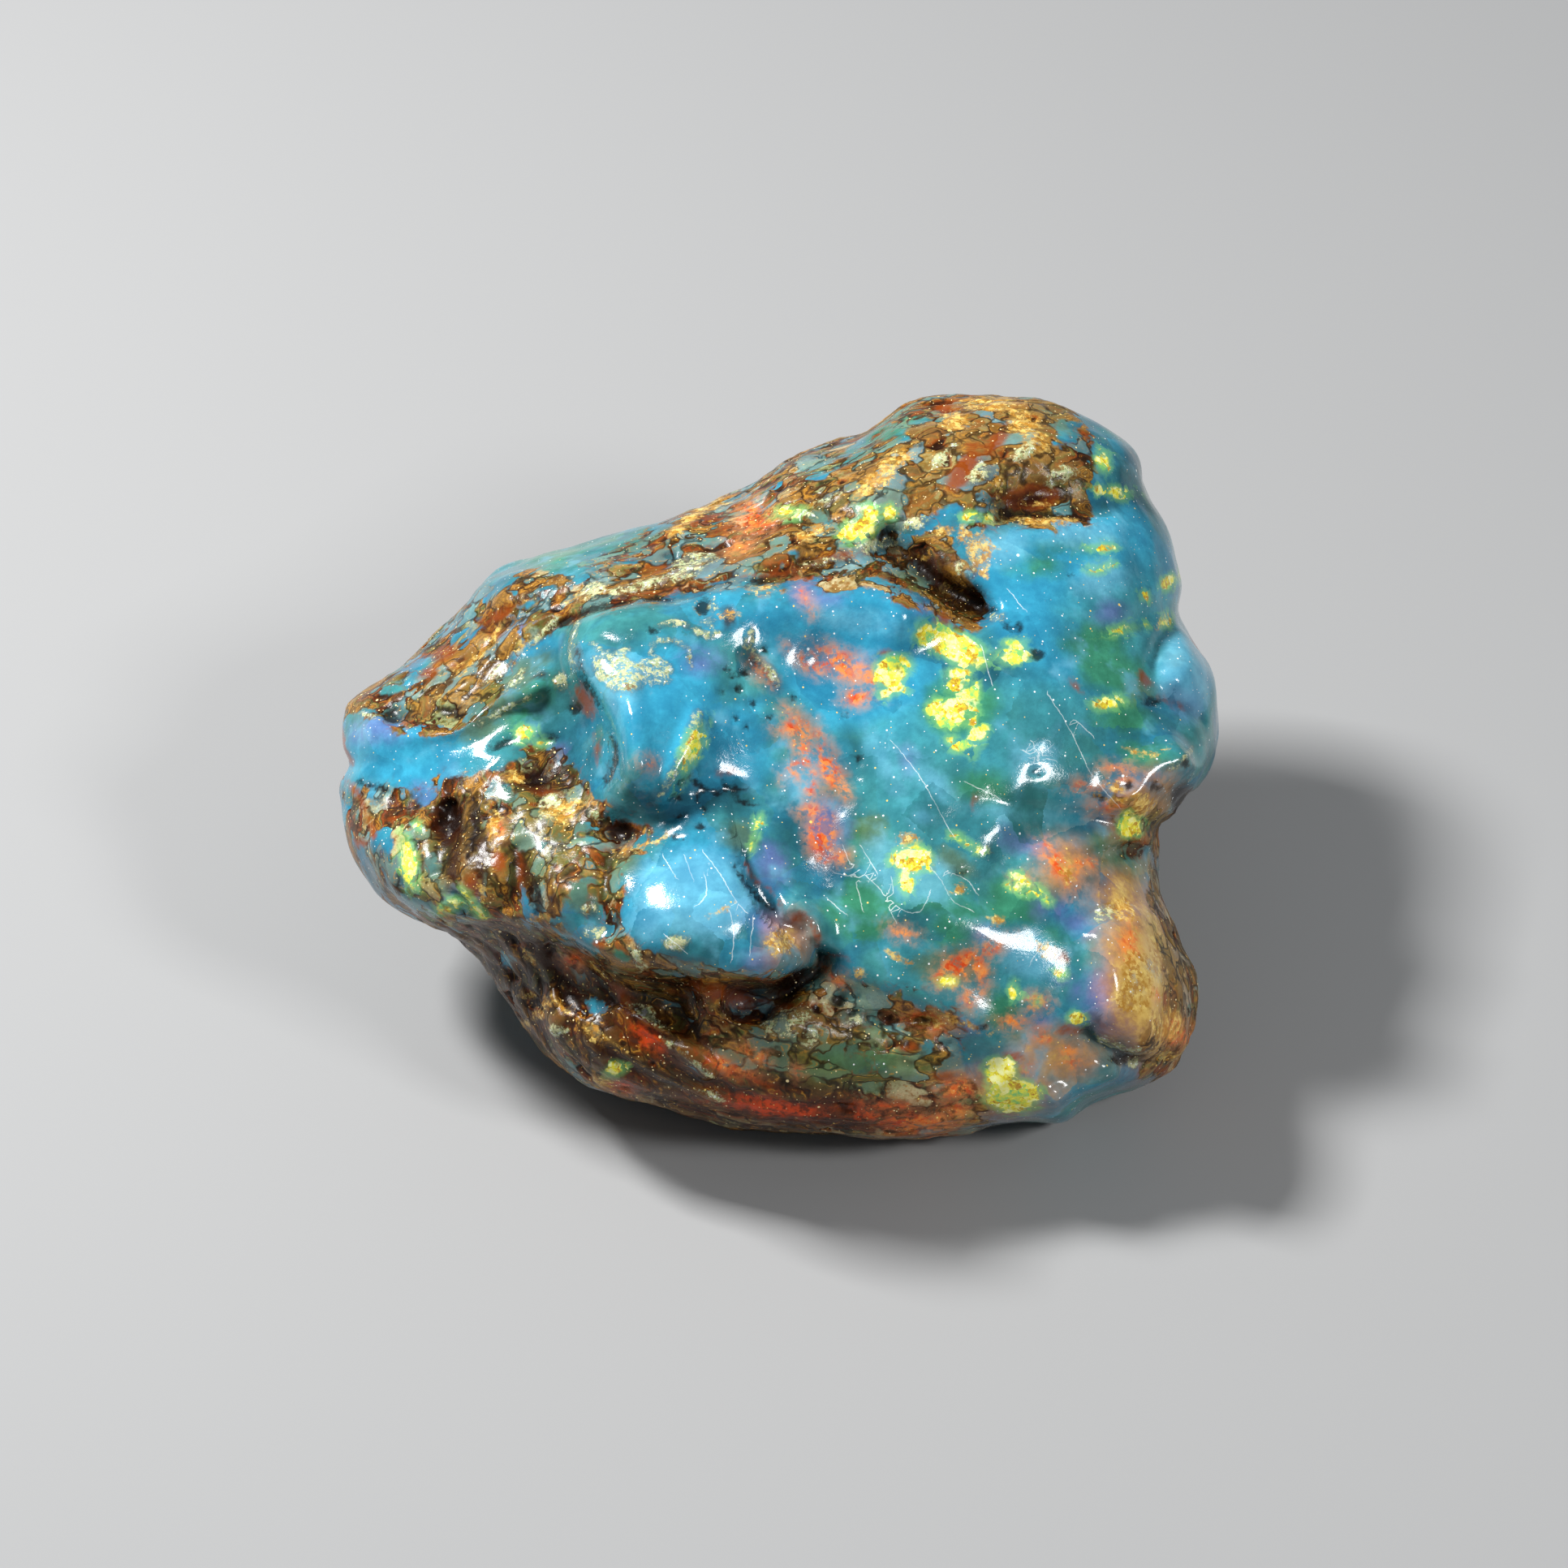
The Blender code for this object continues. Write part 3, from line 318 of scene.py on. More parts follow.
YELLOW_STROKES = [
    (0.14, [(-16.1, -6.1), (-15.6, -6.8), (-15.0, -7.5)]), (0.1, [(15.8, 11.5), (17.3, 11.4)]),
    (0.1, [(15.8, 10.5), (16.5, 10.4), (17.3, 10.7)]), (0.12, [(8.7, -3.2), (9.5, -3.6), (10.4, -4.2)]),
    (0.12, [(-0.9, -2.3), (-1.3, -3.4), (-1.6, -4.4)]),
    (0.12, [(12.0, -5.3), (13.0, -6.1), (13.9, -6.9)]), (0.09, [(11.6, -5.9), (12.8, -6.4)]),
    (0.12, [(9.4, 13.0), (10.2, 13.1), (10.8, 12.9)]),
]
ORANGE_FIRES = [
    (3.0, 5.6, 1.2, 0.6, -30.0), (1.2, 1.6, 0.5, 0.9, 20.0), (2.6, 0.2, 0.5, 1.2, 25.0),
    (2.2, -3.4, 0.7, 1.0), (18.0, -9.0, 0.6, 1.0), (9.2, -10.2, 0.9, 0.8), (20.2, -13.4, 0.6, 0.7),
    (2.1, 5.4, 0.45, 0.5), (2.2, 6.2, 0.4, 0.25), (4.5, 4.9, 0.6, 0.3, -50.0), (4.0, 3.8, 0.6, 0.45),
    (0.6, 2.2, 0.6, 0.32, 10.0), (1.3, 0.4, 0.7, 0.3, 30.0), (1.7, -0.7, 0.22, 0.5),
    (1.8, -2.1, 0.5, 0.32), (2.4, -2.6, 0.35, 0.3), (2.4, -4.5, 0.45, 0.35), (3.1, -4.5, 0.4, 0.35),
    (14.2, -5.0, 0.45, 1.2, 35.0), (15.1, -5.0, 0.35, 0.4), (15.8, -4.9, 0.3, 0.25),
    (9.9, -9.5, 0.65, 0.5), (11.0, -9.1, 0.7, 0.28, 30.0), (10.3, -10.4, 0.4, 1.0),
    (8.7, -10.7, 0.75, 0.6), (9.7, -11.7, 0.3, 0.4), (13.3, -11.9, 0.5, 0.45), (13.5, -13.7, 0.4, 0.3),
    (15.0, -15.0, 0.5, 0.3), (14.7, -14.4, 0.4, 0.3), (-1.2, 12.8, 0.9, 0.55, 10.0),
    (-1.4, 13.5, 0.5, 0.3), (-2.0, 11.4, 0.5, 0.3), (7.2, -18.0, 1.7, 0.45), (9.0, -17.3, 0.7, 0.4),
    (5.2, -17.1, 0.9, 0.2), (4.5, -17.5, 0.7, 0.2), (-3.0, -15.1, 1.2, 0.35, -25.0),
    (-1.3, -14.6, 0.6, 0.3, -20.0), (-2.0, -15.5, 0.8, 0.25, -20.0), (-0.5, -17.2, 2.4, 0.4, -6.0),
    (-6.8, -13.8, 1.3, 0.5, -40.0), (-10.6, -9.9, 0.4, 0.3), (17.4, 0.1, 0.5, 0.22),
    (17.7, -0.4, 0.6, 0.14), (15.8, -0.8, 0.5, 0.2), (9.2, -16.3, 0.9, 0.5), (11.9, -12.9, 0.5, 0.25),
    (17.0, -1.9, 0.7, 0.2), (-6.8, 0.3, 0.25, 0.2), (-14.3, -3.1, 0.25, 0.3), (-7.9, -16.2, 0.6, 0.25),
    (6.3, -8.3, 0.5, 0.25, -20.0), (12.5, -5.7, 0.3, 0.2), (7.4, -12.8, 0.9, 0.35, -10.0),
]
ORANGE_STROKES = [
    (0.16, [(0.4, 6.5), (1.2, 5.8), (1.8, 5.2), (2.6, 5.5), (3.1, 5.9), (4.0, 5.8)]),
    (0.1, [(1.0, 9.6), (1.3, 9.0), (1.8, 8.0)]), (0.16, [(0.2, -0.5), (0.6, 0.2), (1.0, -0.4)]),
    (0.24, [(2.0, 1.5), (2.4, 0.3), (3.0, -0.6), (3.5, -1.4)]),
    (0.1, [(0.2, 3.3), (1.3, 2.4), (2.2, 1.6)]), (0.14, [(2.2, -10.0), (2.8, -10.6), (3.4, -11.0)]),
    (0.1, [(0.9, -15.0), (1.0, -15.8)]), (0.12, [(19.2, -11.2), (19.5, -11.9)]),
    (0.14, [(12.1, -15.0), (12.6, -15.6), (12.9, -15.0)]),
    (0.1, [(-1.4, 5.8), (-0.8, 5.0), (-0.3, 4.4)]),
]
RUST_STAINS = [
    (-17.2, 6.2, 1.0, 0.4, 30.0), (-16.6, 5.5, 0.5, 0.3, 30.0), (-18.0, 5.0, 0.5, 0.3, 20.0),
    (-14.6, 7.9, 0.9, 0.35, 30.0), (-14.7, 7.1, 0.5, 0.25, 30.0), (-12.2, -1.1, 1.2, 0.35, -20.0),
    (-13.2, -4.8, 0.4, 1.6, 5.0), (-14.3, -4.9, 0.5, 0.7), (-9.4, -8.9, 0.5, 0.3),
    (-7.0, -13.6, 1.4, 0.6, -40.0), (-6.6, 3.9, 0.14, 0.4), (-10.0, 3.7, 0.5, 1.3, 30.0),
    (9.5, 15.6, 0.6, 1.6, -35.0), (11.2, 17.2, 0.5, 1.3, -45.0), (12.8, 14.0, 1.6, 0.75, 8.0),
    (8.4, 7.7, 0.6, 0.4, -30.0), (-5.8, 10.6, 0.7, 0.3, 10.0), (-2.5, 0.0, 0.5, 0.3),
    (18.9, 4.6, 0.6, 0.32, -20.0), (12.0, -14.7, 0.5, 0.3), (14.8, -13.3, 0.8, 0.4),
    (5.6, -12.8, 0.5, 0.5), (7.4, -12.8, 0.9, 0.5), (8.6, -15.7, 0.8, 0.4),
    (19.5, -15.3, 0.7, 0.3, 10.0), (-9.3, 1.2, 0.22, 0.9, 10.0), (8.6, 18.7, 1.2, 0.4, 5.0),
    (-3.0, -11.6, 2.6, 0.5, -8.0), (15.2, 4.4, 0.8, 0.25, -45.0), (10.0, -1.6, 0.15, 0.6, -20.0),
    (0.4, 12.6, 0.8, 0.3, 20.0), (-10.6, 7.9, 0.6, 0.3, 20.0), (-8.4, -11.4, 1.4, 0.4, -35.0),
    (6.7, -14.2, 0.5, 0.4), (0.1, -12.1, 1.4, 0.35), (3.0, 10.9, 1.4, 0.3, 10.0),
    (-15.6, -6.0, 0.5, 0.8), (-21.5, -3.7, 0.4, 0.4), (14.3, -9.5, 0.8, 0.3, -30.0),
]
RUST_STROKES = [
    (0.3, [(-22.6, 2.2), (-22.4, 1.2), (-21.9, 0.3)]),
    (0.25, [(-22.3, -0.4), (-21.4, -1.5), (-20.8, -3.5)]),
    (0.12, [(-9.0, 8.9), (-7.0, 9.3), (-4.0, 9.8), (-1.0, 9.9), (1.0, 10.3), (3.0, 10.8)]),
    (0.12, [(-9.7, -6.2), (-9.9, -7.8)]),
    (0.12, [(-1.9, -4.9), (-1.2, -5.8), (-0.5, -6.1), (0.2, -7.0)]),
    (0.3, [(0.2, -8.1), (1.2, -7.5), (2.0, -8.4), (1.9, -9.2)]),
    (0.16, [(2.2, -9.7), (3.0, -9.5), (3.8, -9.9)]), (0.16, [(21.2, 7.1), (21.6, 6.4), (22.0, 5.9)]),
    (0.1, [(19.3, 3.9), (20.2, 3.6), (21.0, 3.0)]),
    (0.14, [(-1.3, 7.4), (-1.6, 6.2), (-0.9, 5.2), (0.0, 4.1)]),
    (0.1, [(5.0, 6.0), (5.9, 6.1), (6.7, 5.5), (6.5, 4.5)]),
]
MAROON_STAINS = [
    (-15.2, -4.4, 0.5, 2.2), (-16.6, -5.0, 0.4, 1.4), (-12.8, -5.4, 0.35, 1.8, 10.0),
    (-11.6, -6.6, 0.3, 1.2, 5.0), (-17.0, -2.7, 1.0, 1.6), (-12.5, -0.6, 1.3, 0.7, -10.0),
    (12.8, 13.9, 1.2, 0.5, 8.0), (-3.2, 11.1, 0.8, 0.3, 10.0), (3.0, -17.3, 6.0, 0.8),
    (20.9, -1.6, 0.9, 1.1, 30.0), (-8.2, -3.2, 0.9, 0.7), (-12.0, -9.6, 2.2, 0.5, -45.0),
    (7.8, 10.4, 1.4, 0.9, -45.0), (-2.6, 7.8, 0.5, 0.8), (-19.1, 2.8, 0.4, 0.25),
    (-12.2, 4.9, 0.6, 0.35), (-9.2, -14.2, 1.6, 0.5, -45.0), (-15.6, -2.8, 0.3, 1.2),
    (6.4, -14.9, 0.6, 0.25), (-16.9, -8.4, 1.2, 0.4, -30.0), (18.2, -14.8, 1.2, 0.3, 10.0),
    (0.6, -10.9, 1.8, 0.5, 30.0), (21.6, -11.6, 0.25, 2.0), (-17.3, 4.6, 0.6, 0.3, 20.0),
    (-15.0, 7.5, 0.5, 0.2, 30.0),
]
# Dark pits, black dendrite dots and slits, and painted shadow: in the fissure and the hole at its end, in
# the recess under the right knob and in the crevice under the beak.
DARK_PITS_AND_SHADOWS = [
    (-19.9, 2.8, 0.42, 0.35), (-0.9, 9.65, 0.5, 0.14, 10.0), (-3.9, 8.5, 0.3, 0.4),
    (7.5, 10.3, 0.5, 0.25, -50.0), (10.2, 8.4, 0.9, 0.3, -15.0), (11.7, 7.5, 0.25, 0.2),
    (12.3, 7.3, 0.2, 0.25), (13.3, 6.0, 0.25, 0.2), (4.1, 0.6, 0.22, 0.32), (-2.0, 4.2, 0.16, 0.16),
    (-1.3, 3.5, 0.14, 0.14), (-2.3, 2.6, 0.13, 0.13), (-2.9, 4.0, 0.14, 0.12), (-1.7, 5.1, 0.16, 0.12),
    (-2.6, 5.3, 0.12, 0.12), (-2.3, 4.9, 0.14, 0.1), (-1.7, 2.2, 0.12, 0.12), (-0.5, 2.7, 0.12, 0.12),
    (0.7, 3.7, 0.12, 0.12), (-0.7, 6.2, 0.14, 0.14), (16.6, -1.4, 0.3, 0.2), (18.0, -0.7, 0.32, 0.2),
    (13.2, -0.05, 0.18, 0.12), (21.0, 0.3, 0.2, 0.2), (19.2, 3.6, 0.35, 0.2), (5.6, -12.8, 0.22, 0.2),
    (7.4, -12.8, 0.4, 0.16), (3.0, -11.8, 0.32, 0.25), (3.8, -12.4, 0.25, 0.16),
    (6.5, -14.0, 0.25, 0.2), (-5.1, -2.4, 0.25, 0.14), (-4.0, -3.0, 0.2, 0.14), (-5.3, -1.4, 0.3, 0.16),
    (-14.3, 1.4, 0.5, 0.18, 20.0), (-11.8, 1.7, 0.3, 0.16), (-10.5, 3.2, 0.3, 0.2),
    (-6.5, 7.2, 0.25, 0.13), (17.5, -14.8, 0.6, 0.25), (20.9, -1.7, 0.6, 0.8, 30.0),
    (-9.8, -3.2, 0.16, 0.14), (6.3, 5.2, 0.14, 0.12), (-8.0, -3.2, 0.5, 0.35),
    (0.9, -10.9, 1.3, 0.35, 35.0), (-12.4, -6.8, 0.3, 0.8, 10.0), (9.3, -5.2, 0.2, 0.16),
    (-16.9, -2.4, 0.5, 0.8), (-12.4, -0.5, 0.6, 0.3), (19.4, -1.0, 0.2, 0.35),
    (10.4, -13.2, 0.16, 0.14), (15.0, 10.2, 0.14, 0.12), (3.4, 2.9, 0.12, 0.12),
]
# Dark lines: black dendrites and dark streaks, and painted shadow along the dome's edges, in the fissure,
# under the crown's rim and in the slit under the strip.
DARK_LINES_AND_SHADOWS = [
    (0.1, [(-5.4, -0.7), (-4.6, -0.4), (-4.0, -0.9), (-3.2, -1.2), (-2.6, -0.9), (-1.7, -1.0)]),
    (0.08, [(-3.0, -0.6), (-2.6, -0.9), (-2.0, -1.6), (-1.2, -1.8)]),
    (0.08, [(-4.6, -0.4), (-4.5, 0.2)]), (0.08, [(-4.0, -0.9), (-4.2, -1.6), (-3.8, -2.2)]),
    (0.12, [(-7.6, -11.8), (-6.6, -12.6), (-5.6, -13.0)]),
    (0.12, [(-7.7, -12.8), (-6.2, -13.6), (-4.9, -14.0)]),
    (0.1, [(-7.0, 9.0), (-6.2, 9.1), (-5.5, 9.0)]), (0.1, [(-5.5, -3.6), (-5.0, -3.5)]),
    (0.18, [(6.6, 11.0), (7.6, 10.1), (8.6, 9.3), (9.6, 8.7)]),
    (0.12, [(-10.3, 6.4), (-9.9, 4.6), (-9.0, 3.2)]), (0.12, [(-8.6, 2.0), (-8.3, 0.6), (-8.8, -0.8)]),
    (0.16, [(-15.6, -1.2), (-15.5, -3.0), (-15.8, -4.4)]), (0.14, [(-21.6, -0.6), (-20.2, -1.0)]),
    (0.14, [(-11.6, 7.4), (-10.0, 8.3), (-7.6, 8.9)]),
    (0.12, [(11.2, 12.9), (12.4, 13.2), (14.2, 13.0)]),
    (0.1, [(-2.4, -5.0), (-1.2, -6.4), (-0.2, -7.2)]), (0.12, [(-17.8, 3.3), (-16.4, 3.1)]),
]
CREAM_CRUSTS = [
    (-8.2, 5.0, 1.3, 0.8, -30.0), (-6.4, 5.2, 0.8, 0.6), (-6.2, 4.6, 0.5, 0.3),
    (-4.4, 10.7, 1.2, 0.45, 12.0), (-9.8, 9.3, 0.8, 0.35, 20.0), (10.3, 15.4, 0.7, 0.4, 40.0),
    (7.0, 12.7, 0.6, 0.3, 20.0), (0.2, -12.9, 1.1, 0.75, -10.0), (1.1, -12.5, 0.7, 0.4),
    (1.5, -13.7, 0.4, 0.5), (3.9, -12.9, 0.35, 0.25), (-11.7, -1.7, 0.5, 0.3, 20.0),
    (-12.0, -2.7, 0.4, 0.3), (-9.5, -8.3, 0.6, 0.35, -20.0), (-9.8, -7.2, 0.3, 0.25),
    (-9.4, -2.3, 0.4, 0.3), (-11.2, 4.6, 0.3, 0.4), (-3.5, 8.4, 0.2, 0.25), (-3.6, 7.6, 0.3, 0.16),
    (-11.3, -13.3, 0.4, 0.25), (-6.7, -12.5, 0.9, 0.25, -32.0), (18.2, -15.0, 0.4, 0.25),
    (-5.3, -8.8, 0.6, 0.35), (10.6, -4.1, 0.2, 0.16), (7.6, -4.4, 0.16, 0.4, 20.0),
    (2.6, 14.0, 0.7, 0.2, 20.0), (12.6, 16.4, 0.7, 0.3, 30.0), (14.4, 15.2, 0.8, 0.4, 20.0),
    (5.0, 11.6, 1.0, 0.3, 10.0), (9.6, 10.4, 0.5, 0.4), (16.6, -7.4, 0.6, 0.4),
    (8.3, 16.2, 0.7, 0.3, 40.0), (-14.6, 5.1, 0.5, 0.2, 50.0), (-3.6, -16.6, 0.7, 0.2, -25.0),
    (2.2, 10.6, 0.8, 0.2, 10.0), (-13.6, 4.6, 0.6, 0.18, 50.0),
]
GILT_ZONES = [
    (8.0, 15.6, 6.0, 2.6, 30.0), (12.0, 18.2, 4.0, 1.5, -10.0), (13.2, 15.6, 2.0, 1.8),
    (18.6, -10.8, 2.4, 4.2), (3.6, 12.6, 3.0, 1.2, 25.0), (-11.0, -2.4, 0.9, 0.9),
    (18.6, -2.2, 2.0, 1.4, 35.0), (-4.0, 10.6, 5.0, 0.9, 10.0), (-16.0, 5.6, 3.6, 1.2, 35.0),
    (10.2, 11.2, 0.9, 1.4), (0.4, -9.0, 0.9, 0.8), (17.2, -6.8, 1.4, 1.0), (19.4, -13.6, 1.6, 1.4),
    (2.0, -12.8, 2.2, 1.0, -10.0),
]
# Where the crust turns maroon and its fire red, mostly the wall under the lip: painted shade over the
# crust's own dark brown.
SHADY_WALL = [
    (-12.6, -11.4, 4.2, 2.0, -50.0), (-7.0, -14.4, 5.0, 2.4, -35.0), (0.0, -17.2, 6.5, 1.5, -5.0),
    (-16.4, -3.4, 1.3, 2.2, 5.0), (-12.2, -0.6, 1.4, 0.6, -15.0),
]
CREAM_STROKES = [
    (0.13, [(-10.3, 7.8), (-10.6, 6.6), (-10.4, 5.2)]), (0.1, [(-6.2, 7.4), (-5.3, 7.6), (-4.5, 7.3)]),
    (0.1, [(-4.5, 7.3), (-3.7, 7.0), (-3.0, 7.1)]), (0.1, [(-6.4, 6.7), (-6.6, 6.0)]),
    (0.2, [(-7.3, -9.1), (-7.2, -9.8), (-6.8, -10.3)]), (0.1, [(0.7, 13.1), (1.2, 13.3), (1.8, 13.0)]),
    (0.13, [(-1.4, 7.3), (-1.5, 6.2), (-0.6, 5.3), (0.0, 4.3)]), (0.12, [(10.8, 7.9), (11.6, 7.9)]),
    (0.2, [(16.2, -13.5), (17.4, -14.0), (18.8, -14.1)]),
    (0.1, [(-5.9, -13.8), (-4.6, -14.8), (-3.2, -15.9)]), (0.1, [(-21.9, 2.9), (-20.8, 2.8)]),
    (0.14, [(-8.8, 9.3), (-6.6, 9.9), (-4.6, 10.2)]), (0.1, [(-12.9, 6.4), (-12.1, 7.2), (-11.4, 7.9)]),
    (0.12, [(-4.2, 3.0), (-4.5, 1.6), (-5.2, 0.4), (-6.2, -1.4)]),
    (0.1, [(-15.4, 2.4), (-14.0, 3.2), (-12.6, 3.9)]), (0.08, [(-9.6, 6.4), (-8.6, 6.0), (-7.6, 6.2)]),
    (0.1, [(20.1, 0.1), (20.8, 0.5), (21.3, 1.2)]),
    (0.08, [(-6.3, 6.6), (-5.4, 6.6), (-4.7, 6.2), (-4.5, 5.3)]),
]
GOLD_LEAF = [
    (12.5, 17.9, 0.9, 0.5, -20.0), (11.0, 18.8, 1.4, 0.4), (9.0, 18.0, 0.8, 0.5),
    (11.3, 14.8, 0.28, 0.6), (10.3, 11.2, 0.7, 0.9), (13.3, 16.9, 0.8, 0.5), (18.4, -10.8, 0.9, 1.6),
    (17.8, -11.8, 0.6, 0.6), (19.3, -9.5, 0.3, 1.2), (19.8, -13.0, 0.9, 0.9), (17.5, -7.2, 0.8, 0.6),
    (19.8, -14.6, 0.6, 0.2, 10.0), (-13.5, -0.4, 0.6, 0.35, -10.0), (-14.6, -2.6, 0.32, 1.2),
    (-13.2, 6.6, 0.5, 0.25, 40.0), (-10.3, -1.8, 0.4, 0.3), (-11.3, -2.2, 1.0, 0.7),
    (0.0, -8.9, 0.7, 0.6), (7.6, -12.8, 0.8, 0.3), (-12.5, -7.6, 0.3, 0.25),
    (-15.2, -6.3, 0.14, 0.5, 10.0), (-2.6, 8.0, 0.4, 0.2), (-0.8, 9.3, 0.7, 0.16, 5.0),
    (7.4, 10.9, 0.3, 0.16, -40.0), (8.5, 9.4, 0.35, 0.16, -40.0), (-13.1, -11.5, 0.3, 0.2),
    (-12.0, -12.0, 0.22, 0.5, -40.0), (-12.4, -12.6, 0.3, 0.2), (-13.1, -13.0, 0.3, 0.2),
    (-9.1, -15.8, 0.5, 0.25, -20.0), (14.7, -5.6, 0.3, 0.5, 35.0), (18.7, -2.0, 0.8, 0.4, 40.0),
    (17.4, -0.9, 0.5, 0.3), (5.0, 14.9, 1.2, 0.4, 35.0), (2.0, 12.2, 0.8, 0.3, 20.0),
    (6.6, -3.6, 0.5, 0.3), (9.3, -6.1, 0.4, 0.25), (11.2, -7.7, 0.4, 0.25),
    (13.8, -9.3, 0.8, 0.3, -30.0), (6.0, 16.0, 1.2, 0.4, 30.0), (-17.4, 4.0, 0.6, 0.16, 20.0),
    (-10.2, 9.2, 0.7, 0.2, 20.0), (8.4, 12.2, 0.6, 0.3), (4.0, -10.4, 0.5, 0.25), (9.4, 12.1, 0.3, 0.6),
]
GOLD_STROKES = [
    (0.16, [(10.9, 13.4), (11.6, 13.0), (12.5, 12.8), (14.5, 12.7), (15.4, 12.9)]),
    (0.22, [(9.6, 12.2), (10.0, 11.5), (10.7, 9.9)]), (0.1, [(10.6, 11.6), (12.1, 11.1)]),
    (0.1, [(-13.1, -9.3), (-12.4, -10.2)]), (0.1, [(-9.9, -10.1), (-8.9, -10.9)]),
    (0.1, [(-4.3, 8.8), (-4.3, 8.4), (-4.0, 8.0)]), (0.1, [(5.5, -9.2), (6.8, -10.0)]),
    (0.08, [(-8.6, -4.3), (-7.0, -3.9), (-5.9, -3.6), (-5.5, -2.9)]),
    (0.1, [(-3.8, -7.6), (-2.3, -6.9)]), (0.2, [(-5.6, 12.0), (-4.0, 13.3), (-2.5, 13.8)]),
    (0.08, [(19.3, 7.3), (19.9, 7.8)]), (0.12, [(16.2, -1.2), (17.4, -1.6), (18.8, -1.2)]),
    (0.1, [(17.8, 1.3), (19.2, 0.9), (20.2, 1.4)]), (0.08, [(12.6, 14.3), (13.6, 14.1)]),
    (0.08, [(12.2, 13.8), (13.9, 13.5)]), (0.1, [(-16.9, 5.0), (-15.6, 6.0), (-14.4, 7.4)]),
    (0.1, [(8.2, -12.2), (9.6, -13.0), (11.2, -13.6)]),
    (0.1, [(-11.5, -11.8), (-10.0, -13.2), (-8.4, -14.3)]), (0.08, [(-9.9, -12.9), (-7.8, -14.6)]),
]
WHITE_HAIRS = [
    [(3.3, -3.9), (3.9, -5.5), (4.3, -7.2)], [(4.2, -3.9), (4.9, -5.0), (5.0, -5.3)],
    [(3.7, -4.7), (4.9, -5.8), (6.1, -7.0), (7.2, -7.3), (7.8, -6.2)], [(2.8, -5.3), (4.1, -5.5)],
    [(7.8, -5.0), (8.4, -5.8), (9.0, -6.8), (10.0, -7.2)], [(5.8, -5.5), (5.9, -6.3)],
    [(5.3, -6.3), (6.0, -7.8)],
    [(5.8, 1.5), (6.3, 0.9), (7.2, -0.3), (8.0, -1.7), (8.5, -2.6), (9.0, -3.4)],
    [(9.5, -0.6), (10.9, -1.2), (11.3, -1.5)],
    [(13.8, 4.0), (14.6, 2.7), (15.5, 1.0), (15.9, 0.1), (16.3, -0.5), (17.5, -2.0)],
    [(12.5, 1.0), (13.3, 0.7), (14.2, 0.5)], [(13.0, 1.5), (13.3, 0.7), (13.6, -0.1)],
    [(12.7, 0.1), (13.3, 0.7), (14.0, 1.3)], [(10.4, 6.5), (11.0, 4.5)], [(11.8, 9.3), (12.6, 8.2)],
    [(-3.9, -4.4), (-3.0, -5.5), (-2.3, -6.6), (-1.7, -7.3)], [(-5.9, -4.5), (-5.2, -5.7)],
    [(-4.8, -4.6), (-4.4, -5.7)], [(-3.8, -5.5), (-3.7, -6.4), (-4.2, -7.0)],
    [(-2.5, -7.2), (-2.3, -8.4), (-2.4, -9.8)], [(-1.3, -7.6), (-1.5, -9.4)],
    [(13.5, -9.0), (12.8, -10.0)], [(-5.8, -8.5), (-5.2, -8.9), (-4.8, -9.4)],
    [(8.6, -5.2), (9.6, -5.6), (10.2, -6.4)], [(2.5, -6.6), (3.4, -7.4)], [(15.2, 2.6), (16.2, 1.8)],
]

# Which way the layers of the crust run: place on the face and degrees from across.
LAYER_TURNS = [
    (-20.0, 4.5, 12.0), (-17.0, 5.5, 35.0), (-14.0, 7.5, 38.0), (-10.0, 9.5, 22.0), (-5.0, 10.5, 12.0),
    (0.0, 11.5, 20.0), (5.0, 12.5, 28.0), (8.0, 14.5, 45.0), (11.0, 16.5, 40.0), (14.0, 17.5, 15.0),
    (12.8, 13.8, 10.0), (7.5, 10.3, -45.0), (10.0, 8.5, -30.0), (-12.5, 4.0, 53.0), (-11.0, 6.0, 60.0),
    (-14.0, 1.5, 45.0), (-18.0, -3.0, 90.0), (-15.0, -4.0, 88.0), (-13.0, -5.0, 95.0),
    (-11.0, -4.0, 100.0), (-19.5, -3.5, 100.0), (-14.0, -10.0, -55.0), (-12.0, -12.5, -62.0),
    (-10.0, -12.0, -45.0), (-7.0, -13.0, -30.0), (-4.0, -15.0, -30.0), (-2.0, -13.0, -20.0),
    (0.0, -17.0, -5.0), (5.0, -17.5, 0.0), (3.0, -13.0, -10.0), (6.0, -13.0, -15.0),
    (18.0, -11.0, 80.0), (19.5, -9.0, 85.0), (17.0, -6.0, 70.0), (18.0, -1.0, 50.0), (20.5, -1.0, 45.0),
    (0.0, 0.0, -50.0), (8.0, 4.0, -40.0), (14.0, 8.0, 20.0), (12.0, -6.0, -40.0), (10.0, -11.0, -20.0),
]

# Families of marks by the name of their field: ovals and strokes.
MARKS = {
    "windows": (BLUE_WINDOWS, BLUE_STRIPES), "bright": (BRIGHT_BLUE, []), "deep": (DEEP_TEAL_AND_SHADE, []),
    "teal": (TEAL_ZONES, []), "jade": (JADE_ZONES, []), "olive": (OLIVE_ZONES, []),
    "violet": (VIOLET_HAZE, []), "milk": (MILKY_VEILS, []), "glow": (AMBER_GLOWS, []),
    "gilt": (GILT_ZONES, []), "shady": (SHADY_WALL, []), "maroon": (MAROON_STAINS, []),
    "yellow": (YELLOW_FIRES, YELLOW_STROKES), "orange": (ORANGE_FIRES, ORANGE_STROKES),
    "rust": (RUST_STAINS, RUST_STROKES), "cream": (CREAM_CRUSTS, CREAM_STROKES),
    "gold": (GOLD_LEAF, GOLD_STROKES), "dark": (DARK_PITS_AND_SHADOWS, DARK_LINES_AND_SHADOWS),
}

